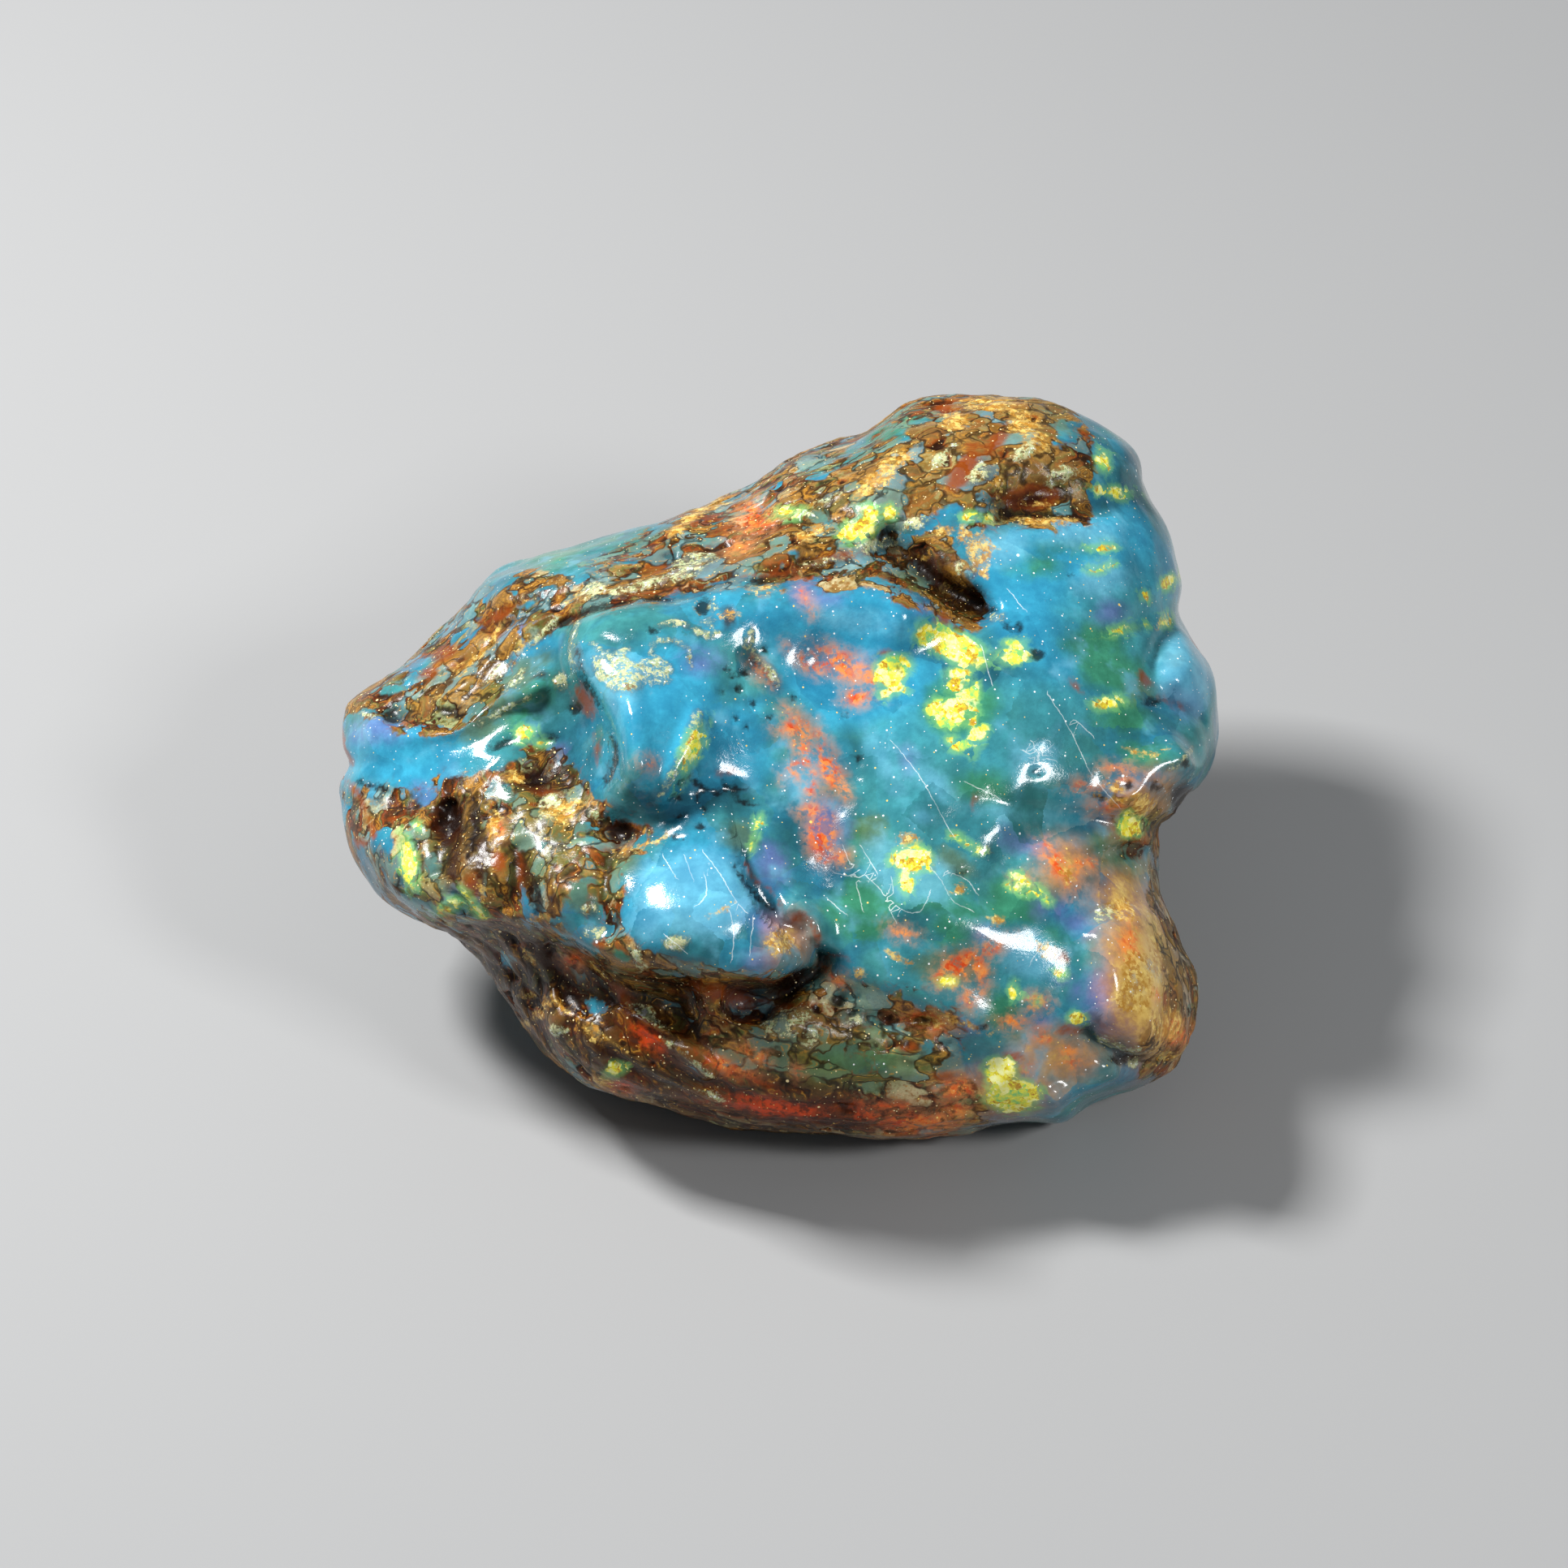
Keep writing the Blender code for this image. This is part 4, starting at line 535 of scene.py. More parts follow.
# Marks of the hidden sides, from noise: lump size, gain and shift in millimetres, and seed.
HIDDEN_MARKS = {
    "crust": (9.0, 3.4, 0.2, 51), "bright": (8.0, 4.0, -0.3, 52), "deep": (6.0, 4.0, -0.6, 53),
    "jade": (5.0, 4.0, -1.0, 54), "olive": (5.0, 4.0, -1.2, 55), "violet": (5.0, 4.0, -1.4, 56),
    "milk": (4.0, 3.0, -1.0, 57), "yellow": (2.6, 2.4, -1.5, 58), "orange": (2.8, 2.6, -1.3, 59),
    "rust": (3.4, 2.2, -0.7, 60), "maroon": (4.0, 2.6, -1.1, 61), "cream": (2.2, 2.0, -1.1, 62),
    "gold": (2.0, 1.8, -0.9, 63), "dark": (1.6, 1.6, -0.95, 64), "gilt": (6.0, 3.0, -0.4, 65),
    "shady": (7.0, 3.0, -0.6, 66), "teal": (8.0, 4.0, -0.4, 67), "glow": (6.0, 3.0, -1.6, 68),
}

# Painted glints, tiny specks of light: size of their cells and radius in millimetres, share of
# cells with one on stone and on crust.
GLINT_SPECKS = [(0.5, 0.056, 0.5, 0.8), (0.28, 0.034, 0.45, 0.8), (1.3, 0.09, 0.2, 0.5)]

# The fields stop at this distance from their marks, and those of the fibres at a nearer one, in
# millimetres. A bell is as good as flat at BELL_REACH times its width.
FAR = 3.0
FIBRE_REACH = 1.5
BELL_REACH = 3.2

# Layers of the crust: how far along them their lines are averaged and how far each turn is felt, in
# millimetres, which way they face on the hidden sides, and how many times wider than thick they are.
LAYER_RUN = 2.4
TURN_REACH = 3.0
LAYER_FACING = (-0.45, 0.35, 0.8)
LAYER_STRETCH = 3.5

# Cells of the colours, in millimetres: the crust's knobs, with how soft their rims are as a share,
# and the stone's facets, flakes and chips.
KNOB_SIZE = 1.5
KNOB_SOFTNESS = 0.35
FACET_SIZE = 2.4
FLAKE_SIZE = 0.55
CHIP_SIZE = 0.24

# Rounds of averaging that tell how deep a place is sunk in its surroundings, which sets the painted
# shade of the hollows.
HOLLOW_ROUNDS = 14

# The studio, in metres: the lights and where they point, the tint of the room, the width of the
# picture where it meets the stone, and the shift of its middle across the face and up it.
KEY_PLACE = (-0.16, 0.06, 0.24)
FILL_PLACE = (0.2, -0.16, 0.22)
FILL_SIZE = 0.06
LIGHT_TARGET = (0.0, 0.0, 0.012)
ROOM_TINT = (0.86, 0.93, 1.0)
PICTURE_WIDTH = 80.5 * MM
PICTURE_SHIFT = (0.25 * MM, -0.667 * MM)
FLOOR_ROUGHNESS = 0.9

# Width of the camera's sensor, in millimetres.
SENSOR_WIDTH = 36.0


def smoothstep(value, low, high):
    """0 below low, 1 above high, and the smooth rise 3s^2 - 2s^3 between them."""
    share = np.clip((value - low) / (high - low), 0.0, 1.0)
    return share * share * (3.0 - 2.0 * share)


def curve_through(points, steps=5):
    """A smooth curve through the points: a cubic from each to the next, whose slope at a point is
    half the way from the point before it to the point after it."""
    points = np.array(points, float)
    before = 2.0 * points[0] - points[1]
    after = 2.0 * points[-1] - points[-2]
    path = np.vstack([before, points, after])
    share = (np.arange(steps) / steps)[:, None]
    runs = []
    for first in range(len(points) - 1):
        a, b, c, d = path[first:first + 4]
        bend = 2 * a - 5 * b + 4 * c - d + share * (3 * b - 3 * c + d - a)
        runs.append(b + 0.5 * share * (c - a + share * bend))
    return np.vstack(runs + [points[-1:]])


def lattice_gradients(cell, seed):
    """A fixed unit vector for each cell corner, mixed from the corner's whole coordinates."""
    mixed = (cell @ np.array([374761393, 668265263, 1442695041]) + seed * 1274126177) & 0xFFFFFFFF
    mixed = (mixed ^ (mixed >> 13)) * 1274126177 & 0xFFFFFFFF
    mixed = (mixed ^ (mixed >> 16)) * 1103515245 & 0xFFFFFFFF
    mixed = mixed ^ (mixed >> 15)
    parts = np.stack([mixed & 1023, (mixed >> 10) & 1023, (mixed >> 20) & 1023], axis=1)
    vector = parts / 511.5 - 1.0
    return vector / np.linalg.norm(vector, axis=1)[:, None]


def noise(points, size, seed):
    """Smooth wandering values of about -1 to 1: at each cell corner the point's offset times a
    fixed direction, eased from corner to corner. Lumps are about as wide as size."""
    scaled = points / size
    base = np.floor(scaled).astype(np.int64)
    inside = scaled - base
    ease = inside ** 3 * (inside * (inside * 6.0 - 15.0) + 10.0)
    total = np.zeros(len(points))
    for corner in np.ndindex(2, 2, 2):
        weight = np.prod(np.where(corner, ease, 1.0 - ease), axis=1)
        gradient = lattice_gradients(base + corner, seed)
        total += weight * ((inside - corner) * gradient).sum(axis=1)
    return 1.5 * total


def near_path(face, path, reach):
    """For the places within reach of a path's box: their rows, their distance to the path, positive
    on the left of its travel, and the share of it travelled."""
    line = curve_through(path)
    low = line.min(axis=0) - reach
    high = line.max(axis=0) + reach
    rows = np.flatnonzero(np.all((face > low) & (face < high), axis=1))
    step = np.diff(line, axis=0)
    away = face[rows, None] - line[:-1]
    share = np.clip((away * step).sum(axis=2) / (step ** 2).sum(axis=1), 0.0, 1.0)
    gap = away - share[..., None] * step
    size = np.hypot(gap[..., 0], gap[..., 1])
    row = np.arange(len(rows))
    nearest = size.argmin(axis=1)
    turn = step[nearest, 0] * away[row, nearest, 1] - step[nearest, 1] * away[row, nearest, 0]
    distance = np.copysign(size[row, nearest], turn)
    return rows, distance, (nearest + share[row, nearest]) / len(step)


def fading_ends(share):
    """1 along a path, easing to 0 over its first and last eighth or so."""
    return smoothstep(share, 0.0, 0.12) * smoothstep(1.0 - share, 0.0, 0.12)


def face_relief(face):
    """Height of the face toward the viewer, in millimetres: each broad form is a bell of its own
    reach, each ridge a bell across its path, and each ledge a tanh step across its path that a
    wider bell brings back down."""
    height = np.zeros(len(face))
    for centre, rise, reach in BROAD_FORMS:
        height += rise * np.exp(-(((face - centre) / reach) ** 2).sum(axis=1))
    for path, rise, width, run in LEDGES:
        rows, distance, share = near_path(face, path, BELL_REACH * run)
        step_up = 0.5 + 0.5 * np.tanh(distance / width)
        run_out = np.exp(-(np.maximum(distance, 0.0) / run) ** 2)
        height[rows] += rise * step_up * run_out * fading_ends(share)
    for path, rise, width in RIDGES:
        rows, distance, share = near_path(face, path, BELL_REACH * width)
        height[rows] += rise * np.exp(-(distance / width) ** 2) * fading_ends(share)
    return height


def outline_radius(angle):
    """Distance from the middle of the face to its outline in each direction, in metres."""
    corners = np.vstack([OUTLINE[-3:], OUTLINE, OUTLINE[:3]])
    rim = curve_through(corners)[10:-11]
    around = np.arctan2(rim[:, 1], rim[:, 0])
    return MM * np.interp(angle, around, np.hypot(rim[:, 0], rim[:, 1]), period=math.tau)


def rounded_block(direction):
    """The plain form, of two parameters that turn the direction: a superellipsoid whose rim is drawn
    out to the outline of the stone, thinner along its arm. Rows are (across, up, toward the viewer)."""
    angle = np.arctan2(direction[:, 1], direction[:, 0])
    slant = np.hypot(direction[:, 0], direction[:, 1])
    toward = direction[:, 2]
    stretch = (slant ** FULLNESS + np.abs(toward) ** FULLNESS) ** (-1.0 / FULLNESS)
    core = 1.0 / np.hypot(2.0 * np.cos(angle) / CORE_WIDTH, 2.0 * np.sin(angle) / CORE_HEIGHT)
    rim_share = smoothstep(stretch * slant, RIM_START, RIM_FULL)
    radius = stretch * slant * (core + rim_share * (outline_radius(angle) - core))
    depth = np.where(toward > 0.0, FRONT_DEPTH, BACK_DEPTH) * stretch * toward
    across = radius * np.cos(angle)
    up = radius * np.sin(angle)
    depth *= 1.0 - ARM_THINNING * smoothstep(-across, ARM_START, ARM_END)
    depth -= RIM_LEAN * up
    nearness = 1.0 - depth / VIEW_DISTANCE
    return np.stack([across * nearness, up * nearness, depth], axis=1)


def face_places(points):
    """Where the points are seen on the face, in millimetres, by an eye VIEW_DISTANCE in front of it."""
    return points[:, :2] / (1.0 - points[:, 2:] / VIEW_DISTANCE) / MM


def stand_up(points):
    """Lean the face back and put the middle of the stone at its place above the ground."""
    tilt = math.radians(FACE_TILT)
    across, up, toward = points.T
    depth = up * math.sin(tilt) - toward * math.cos(tilt)
    height = up * math.cos(tilt) + toward * math.sin(tilt)
    return np.stack([across, depth, height], axis=1) + MIDDLE


def shape_back(points, toward):
    """The hidden sides: a soft press beyond each flat, a bell for each boss and hollow, and layered
    shelves, a saw-tooth of the height along the layers with its drops eased."""
    hidden = smoothstep(-toward, 0.05, 0.4)
    for facing, distance, softness in BACK_FLATS:
        facing = np.array(facing) / np.linalg.norm(facing)
        beyond = (points - MIDDLE) @ facing / MM - distance
        pressed = softness * np.logaddexp(0.0, beyond / softness)
        points = points - MM * (hidden * pressed)[:, None] * facing
    outward = points - MIDDLE
    outward /= np.linalg.norm(outward, axis=1)[:, None]
    lift = np.zeros(len(points))
    for centre, height, reach in BACK_FORMS:
        gap = np.linalg.norm(points / MM - centre, axis=1)
        lift += height * np.exp(-(gap / reach) ** 2)
    level = points @ LAYER_FACING / (SHELF_SPACING * MM) + 0.5 * noise(points, 9.0 * MM, 41)
    shelf = level - np.floor(level)
    shelf -= smoothstep(shelf, 0.75, 1.0)
    patches = smoothstep(noise(points, 8.0 * MM, 42), -0.2, 0.4)
    lift += SHELF_HEIGHT * shelf * patches
    return points + MM * (lift * hidden)[:, None] * outward


def weathering(points, toward):
    """Small uneven lumps over the whole stone, rougher behind, in metres along the surface normal."""
    hidden = smoothstep(-toward, -0.3, 0.3)
    lumps = noise(points, 8.0 * MM, 11) + 0.5 * noise(points, 4.0 * MM, 12)
    lumps += 0.25 * noise(points, 2.0 * MM, 13)
    return MM * lumps * (WEATHERING + WEATHERING_BEHIND * hidden)


def ball_grid(cells):
    """Directions all round, and the four-sided faces between them: each side of a cube is a grid of
    two parameters whose lines stand at equal angles, drawn in to a ball. Sides share their rims."""
    line = np.arange(cells + 1)
    first, second = np.meshgrid(line, line, indexing="ij")
    corners = []
    faces = []
    for axis in range(3):
        for side in (0, cells):
            place = np.zeros((cells + 1, cells + 1, 3), int)
            place[..., axis] = side
            place[..., (axis + 1) % 3] = first
            place[..., (axis + 2) % 3] = second
            index = len(corners) * first.size + np.arange(first.size).reshape(first.shape)
            ring = [index[:-1, :-1], index[1:, :-1], index[1:, 1:], index[:-1, 1:]]
            ring = np.stack(ring, axis=-1).reshape(-1, 4)
            faces.append(ring if side else ring[:, ::-1])
            corners.append(place.reshape(-1, 3))
    unique, index = np.unique(np.vstack(corners), axis=0, return_inverse=True)
    spread = np.tan((unique * 2.0 / cells - 1.0) * math.pi / 4.0)
    direction = spread / np.linalg.norm(spread, axis=1)[:, None]
    return direction, index.reshape(-1)[np.vstack(faces)]


def point_normals(points, faces):
    """The normal at each point: the sum of the cross products of the diagonals of its faces."""
    corner = points[faces]
    facing = np.cross(corner[:, 2] - corner[:, 0], corner[:, 3] - corner[:, 1])
    owner = faces.ravel()
    total = [np.bincount(owner, np.repeat(facing[:, axis], 4), len(points)) for axis in range(3)]
    total = np.stack(total, axis=1)
    return total / np.linalg.norm(total, axis=1)[:, None]


def sunkenness(points, faces, rounds):
    """How far each point lies below the mean of its surroundings, in millimetres: its neighbours are
    averaged over and over, and the step to that mean is measured along the normal."""
    first = faces.ravel()
    second = np.roll(faces, -1, axis=1).ravel()
    many = np.bincount(first, minlength=len(points)) + np.bincount(second, minlength=len(points))
    mean = points
    for _ in range(rounds):
        total = [
            np.bincount(first, mean[second, axis], len(points))
            + np.bincount(second, mean[first, axis], len(points))
            for axis in range(3)
        ]
        mean = np.stack(total, axis=1) / many[:, None]
    return ((mean - points) * point_normals(points, faces)).sum(axis=1) / MM


def ovals_depth(face, ovals):
    """How far inside the deepest oval each place is, in millimetres: one less its share of the way
    out to the rim, times the smaller half width. Negative outside, and at least -FAR. An oval
    without a turn stands level."""
    depth = np.full(len(face), -FAR)
    for across, up, half_width, half_height, *turn in ovals:
        angle = math.radians(sum(turn))
        offset = face - (across, up)
        along = offset @ (math.cos(angle), math.sin(angle)) / half_width
        over = offset @ (-math.sin(angle), math.cos(angle)) / half_height
        inside = (1.0 - np.hypot(along, over)) * min(half_width, half_height)
        np.maximum(depth, inside, out=depth)
    return depth


def strokes_depth(face, strokes):
    """How far inside the deepest stroke each place is, in millimetres: the stroke's half width, which
    tapers to its ends, less the distance to its path."""
    depth = np.full(len(face), -FAR)
    for half_width, path in strokes:
        rows, distance, share = near_path(face, path, FAR)
        inside = half_width * (0.3 + 0.7 * fading_ends(share)) - np.abs(distance)
        depth[rows] = np.maximum(depth[rows], inside)
    return depth


def zones_depth(face, zones):
    """How far inside the zones each place is, in millimetres: the distance to the nearest side,
    positive where a line to the right crosses the sides an odd number of times."""
    depth = np.full(len(face), -FAR)
    for zone in zones:
        nearest = np.full(len(face), np.inf)
        odd = np.zeros(len(face), bool)
        for start, end in zip(zone, zone[1:] + zone[:1]):
            side = np.subtract(end, start)
            offset = face - start
            share = np.clip(offset @ side / (side @ side), 0.0, 1.0)
            gap = offset - share[:, None] * side
            nearest = np.minimum(nearest, np.hypot(gap[:, 0], gap[:, 1]))
            if side[1]:
                meets = offset[:, 0] < side[0] * offset[:, 1] / side[1]
                odd ^= meets & ((face[:, 1] < start[1]) != (face[:, 1] < end[1]))
        np.maximum(depth, np.where(odd, nearest, -nearest), out=depth)
    return np.clip(depth, -FAR, FAR)


def hair_fields(face):
    """Signed and plain distance to the nearest fibre, in millimetres."""
    side = np.full(len(face), FAR)
    for path in WHITE_HAIRS:
        rows, distance, _ = near_path(face, path, FIBRE_REACH)
        closer = np.abs(distance) < np.abs(side[rows])
        side[rows[closer]] = distance[closer]
    return side, np.abs(side)


def layer_lines(face, toward_face, points, hidden):
    """Lines of the layered crust, about -1 to 1: noise averaged along the way that the layers run,
    as grain in wood. Behind, it is noise stretched across the layers' facing."""
    pull = np.zeros((len(face), 2))
    for across, up, turn in LAYER_TURNS:
        weight = np.exp(-(((face - (across, up)) / TURN_REACH) ** 2).sum(axis=1)) + 1e-9
        pull += weight[:, None] * (math.cos(2 * math.radians(turn)), math.sin(2 * math.radians(turn)))
    angle = 0.5 * np.arctan2(pull[:, 1], pull[:, 0])
    along = np.stack([np.cos(angle), np.sin(angle), np.zeros(len(face))], axis=1)
    place = np.column_stack([face, toward_face / MM])
    front = np.zeros(len(face))
    for step in np.linspace(-LAYER_RUN, LAYER_RUN, 9):
        front += noise(place + step * along, 1.1, 71) + 0.6 * noise(place + step * along, 0.6, 72)
    facing = np.array(LAYER_FACING) / np.linalg.norm(LAYER_FACING)
    level = (points @ facing)[:, None] * facing
    squeezed = (points - level) / LAYER_STRETCH + level
    behind = 6.0 * noise(squeezed, 1.0 * MM, 73) + 3.0 * noise(squeezed, 0.6 * MM, 74)
    return (front * (1.0 - hidden) + behind * hidden) / 5.0


def mark_fields(face, points, hidden):
    """All families of marks, each as millimetres inside its marks, blended over the rim of the face
    into noise on the hidden sides. Windows of blue stone are cut out of the crust."""
    fields = {
        name: np.maximum(ovals_depth(face, ovals), strokes_depth(face, strokes))
        for name, (ovals, strokes) in MARKS.items()
    }
    fields["crust"] = np.minimum(zones_depth(face, CRUST_ZONES), -fields.pop("windows"))
    for name, (size, gain, shift, seed) in HIDDEN_MARKS.items():
        behind = gain * noise(points, size * MM, seed) + shift
        fields[name] = fields[name] * (1.0 - hidden) + behind * hidden
    return fields


def stone_form(direction, faces):
    """Points of the stone without its fine relief, the places on the face where they are seen, and
    how far each stands toward the viewer. The relief of the face fades out over its rim."""
    toward = direction[:, 2]
    points = rounded_block(direction)
    wander = np.stack([noise(points, 3.0 * MM, seed) for seed in (31, 32)], axis=1)
    relief = face_relief(face_places(points) + FACE_WANDER * wander)
    points[:, 2] += MM * relief * smoothstep(toward, -0.45, 0.0)
    face = face_places(points)
    depth = points[:, 2].copy()
    points = shape_back(stand_up(points), toward)
    points += weathering(points, toward)[:, None] * point_normals(points, faces)
    return points, face, depth


def fine_relief(points, fields, crust_relief, skin_relief):
    """Height along the normal, and how deeply the crust is pitted: the crust has its layers and
    pits, the skin has dimples from two noises, the dark marks (pits, and the painted shadows of
    crevices) are sunk and chalky crusts stand up."""
    crusted = smoothstep(fields["crust"], -0.4, 0.5)
    skin = noise(points, 1.6 * MM, 81) + 0.5 * noise(points, 0.8 * MM, 82)
    pitting = smoothstep(noise(points, 1.5 * MM, 83) + 0.4 * noise(points, 0.7 * MM, 84), 0.42, 0.75)
    lift = crust_relief * crusted * (np.clip(fields["layers"], -1.2, 1.2) - 1.3 * pitting)
    lift += skin_relief * skin * (1.0 + crusted)
    lift -= 0.7 * crust_relief * smoothstep(fields["dark"], -0.25, 0.15)
    lift += 0.5 * crust_relief * smoothstep(fields["cream"], -0.1, 0.1)
    return lift, pitting * crusted


def stone_surface(cells, crust_relief, skin_relief):
    """Points, faces and fields of the stone. The form is that of the solid, and the fine relief
    stands on it along the normal."""
    direction, faces = ball_grid(cells)
    points, face, depth = stone_form(direction, faces)
    hidden = smoothstep(-direction[:, 2], 0.05, 0.45)
    fields = mark_fields(face, points, hidden)
    fields["layers"] = layer_lines(face, depth, points, hidden)
    fields["hair_side"], fields["hair_reach"] = hair_fields(face)
    lift, fields["pitting"] = fine_relief(points, fields, crust_relief, skin_relief)
    points += lift[:, None] * point_normals(points, faces)
    fields["hollow"] = sunkenness(points, faces, HOLLOW_ROUNDS)
    points[:, 2] = np.maximum(points[:, 2], 0.0)
    return points, faces, fields


def paint(red, green, blue):
    """A colour as the eye reads it, 0 to 255, as the linear values that a material takes."""
    return tuple((part / 255.0) ** 2.2 for part in (red, green, blue))


class Board:
    """The node board of one material: each call adds a node and gives back one of its outputs. The
    nodes stand in columns of so many rows."""
    column_width = 260.0
    row_height = 220.0
    rows = 12

    def __init__(self, material):
        material.use_nodes = True
        self.tree = material.node_tree
        self.surface = self.tree.nodes["Principled BSDF"]
        self.count = 0

    def set_input(self, socket, value):
        """Link the socket to another output, or give it a plain number, vector or colour."""
        if isinstance(value, bpy.types.NodeSocket):
            self.tree.links.new(value, socket)
        elif socket.type == "RGBA":
            socket.default_value = (*value, 1.0)
        else:
            socket.default_value = value

    def add(self, kind, inputs, output=0, **settings):
        """A new node with these inputs and settings, of which one output is given back."""
        node = self.tree.nodes.new(kind)
        column, row = divmod(self.count, self.rows)
        node.location = (-self.column_width * (column + 1), -self.row_height * row)
        self.count += 1
        for name, value in settings.items():
            setattr(node, name, value)
        for name, value in inputs.items():
            self.set_input(node.inputs[name], value)
        return node.outputs[output]

    def field(self, name):
        """The field of that name, which is kept on the points of the stone."""
        return self.add("ShaderNodeAttribute", {}, "Fac", attribute_type="GEOMETRY", attribute_name=name)

    def maths(self, operation, first, second=0.0, third=0.0):
        """One operation on up to three numbers."""
        return self.add("ShaderNodeMath", {0: first, 1: second, 2: third}, operation=operation)

    def rise(self, value, low, high, bottom=0.0, top=1.0):
        """The value eased from bottom at low to top at high."""
        inputs = {"Value": value, "From Min": low, "From Max": high, "To Min": bottom, "To Max": top}
        return self.add("ShaderNodeMapRange", inputs, interpolation_type="SMOOTHSTEP")

    def blend(self, share, under, over, kind="MIX"):
        """The colour over, laid on the colour under by its share."""
        inputs = {0: share, 6: under, 7: over}
        return self.add("ShaderNodeMix", inputs, 2, data_type="RGBA", blend_type=kind)

    def stain(self, under, tone, edge, low, high, strength=1.0):
        """The tone laid on the colour under it, from none where edge is low to strength at high."""
        return self.blend(self.rise(edge, low, high, 0.0, strength), under, tone)

    def parts(self, colour):
        """The three channels of a colour."""
        node = self.tree.nodes.new("ShaderNodeSeparateColor")
        self.tree.links.new(colour, node.inputs[0])
        return node.outputs[0], node.outputs[1], node.outputs[2]

    def shifted(self, value, *pairs):
        """The value plus each noise, centred on 0, times its amount."""
        for wave, amount in pairs:
            value = self.maths("MULTIPLY_ADD", self.maths("SUBTRACT", wave, 0.5), amount, value)
        return value

    def bands(self, value, stops):
        """A row of colours at their places from 0 to 1."""
        node = self.tree.nodes.new("ShaderNodeValToRGB")
        self.tree.links.new(value, node.inputs[0])
        ramp = node.color_ramp
        while len(ramp.elements) < len(stops):
            ramp.elements.new(1.0)
        for element, (place, colour) in zip(ramp.elements, stops):
            element.position = place
            element.color = (*colour, 1.0)
        return node.outputs[0]


# Soft stains of the blue stone, with painted shade where the deep teal lies in hollows and painted
# light in the light gold of the knob's glow: field, colour, where it starts and is full in
# millimetres, wander of its edge by lumps and by grain, and strength.
BODY_STAINS = [
    ("deep", "deep_teal", -0.9, 0.6, 1.2, 0.9, 0.6),
    ("bright", "bright_blue", -1.0, 0.9, 1.4, 0.4, 0.9),
    ("teal", "body_teal", -1.6, 1.4, 1.4, 0.4, 0.75), ("jade", "jade", -0.6, 0.5, 1.2, 0.4, 0.85),
    ("olive", "olive", -0.4, 0.4, 1.2, 0.6, 0.6), ("violet", "violet", -0.5, 0.6, 0.9, 0.4, 0.6),
    ("milk", "milk", -0.5, 0.6, 0.9, 0.6, 0.6), ("glow", "peach", -1.4, 0.6, 1.2, 0.6, 0.6),
    ("glow", "gold", -0.5, 1.2, 1.4, 1.2, 0.8), ("glow", "gold_light", 0.1, 1.4, 1.6, 1.8, 0.7),
]


def shared_waves(board, place):
    """The noises and cells that the colours are made of, in millimetres, by name.

    broad, lumps, grain and dust are noises from coarse to fine; facet, flake and chip are flat cells
    with crooked edges; knob is the drawn-out cells of the crust, dome the distance from their middles
    and seam the distance from their edges; wall is the distance from the middles of the facets, which
    is greatest where facets meet. All but dome, seam and wall have three channels.
    """
    def wave(size, detail, rough=0.55):
        inputs = {"Vector": place, "Scale": 1.0 / size, "Detail": detail, "Roughness": rough}
        return board.add("ShaderNodeTexNoise", inputs, "Color")

    def cells(vector, size, output="Color", feature="F1"):
        inputs = {"Vector": vector, "Scale": 1.0 / size}
        if feature == "SMOOTH_F1":
            inputs["Smoothness"] = KNOB_SOFTNESS
        return board.add("ShaderNodeTexVoronoi", inputs, output, feature=feature)

    def bent(vector, bend, amount):
        inputs = {0: bend, 1: (amount,) * 3, 2: vector}
        return board.add("ShaderNodeVectorMath", inputs, operation="MULTIPLY_ADD")

    grain = wave(0.45, 3.0, 0.65)
    crooked = bent(place, grain, 0.45)
    squeeze = board.add("ShaderNodeVectorMath", {
        0: LAYER_FACING, "Scale": board.maths("MULTIPLY", board.field("layers"), 2.0)}, operation="SCALE")
    drawn = board.add("ShaderNodeVectorMath", {0: squeeze, 1: place}, operation="ADD")
    rolling = bent(drawn, wave(1.1, 2.0, 0.4), 2.2)
    colours = {
        "broad": wave(6.0, 2.0), "lumps": wave(1.5, 3.0), "grain": grain, "dust": wave(0.12, 2.0),
        "facet": cells(crooked, FACET_SIZE), "flake": cells(crooked, FLAKE_SIZE),
        "chip": cells(crooked, CHIP_SIZE), "knob": cells(rolling, KNOB_SIZE, feature="SMOOTH_F1"),
    }
    waves = {name: board.parts(colour) for name, colour in colours.items()}
    waves["dome"] = cells(rolling, KNOB_SIZE, "Distance")
    waves["seam"] = cells(rolling, KNOB_SIZE, "Distance", "DISTANCE_TO_EDGE")
    waves["wall"] = cells(crooked, FACET_SIZE, "Distance")
    return waves


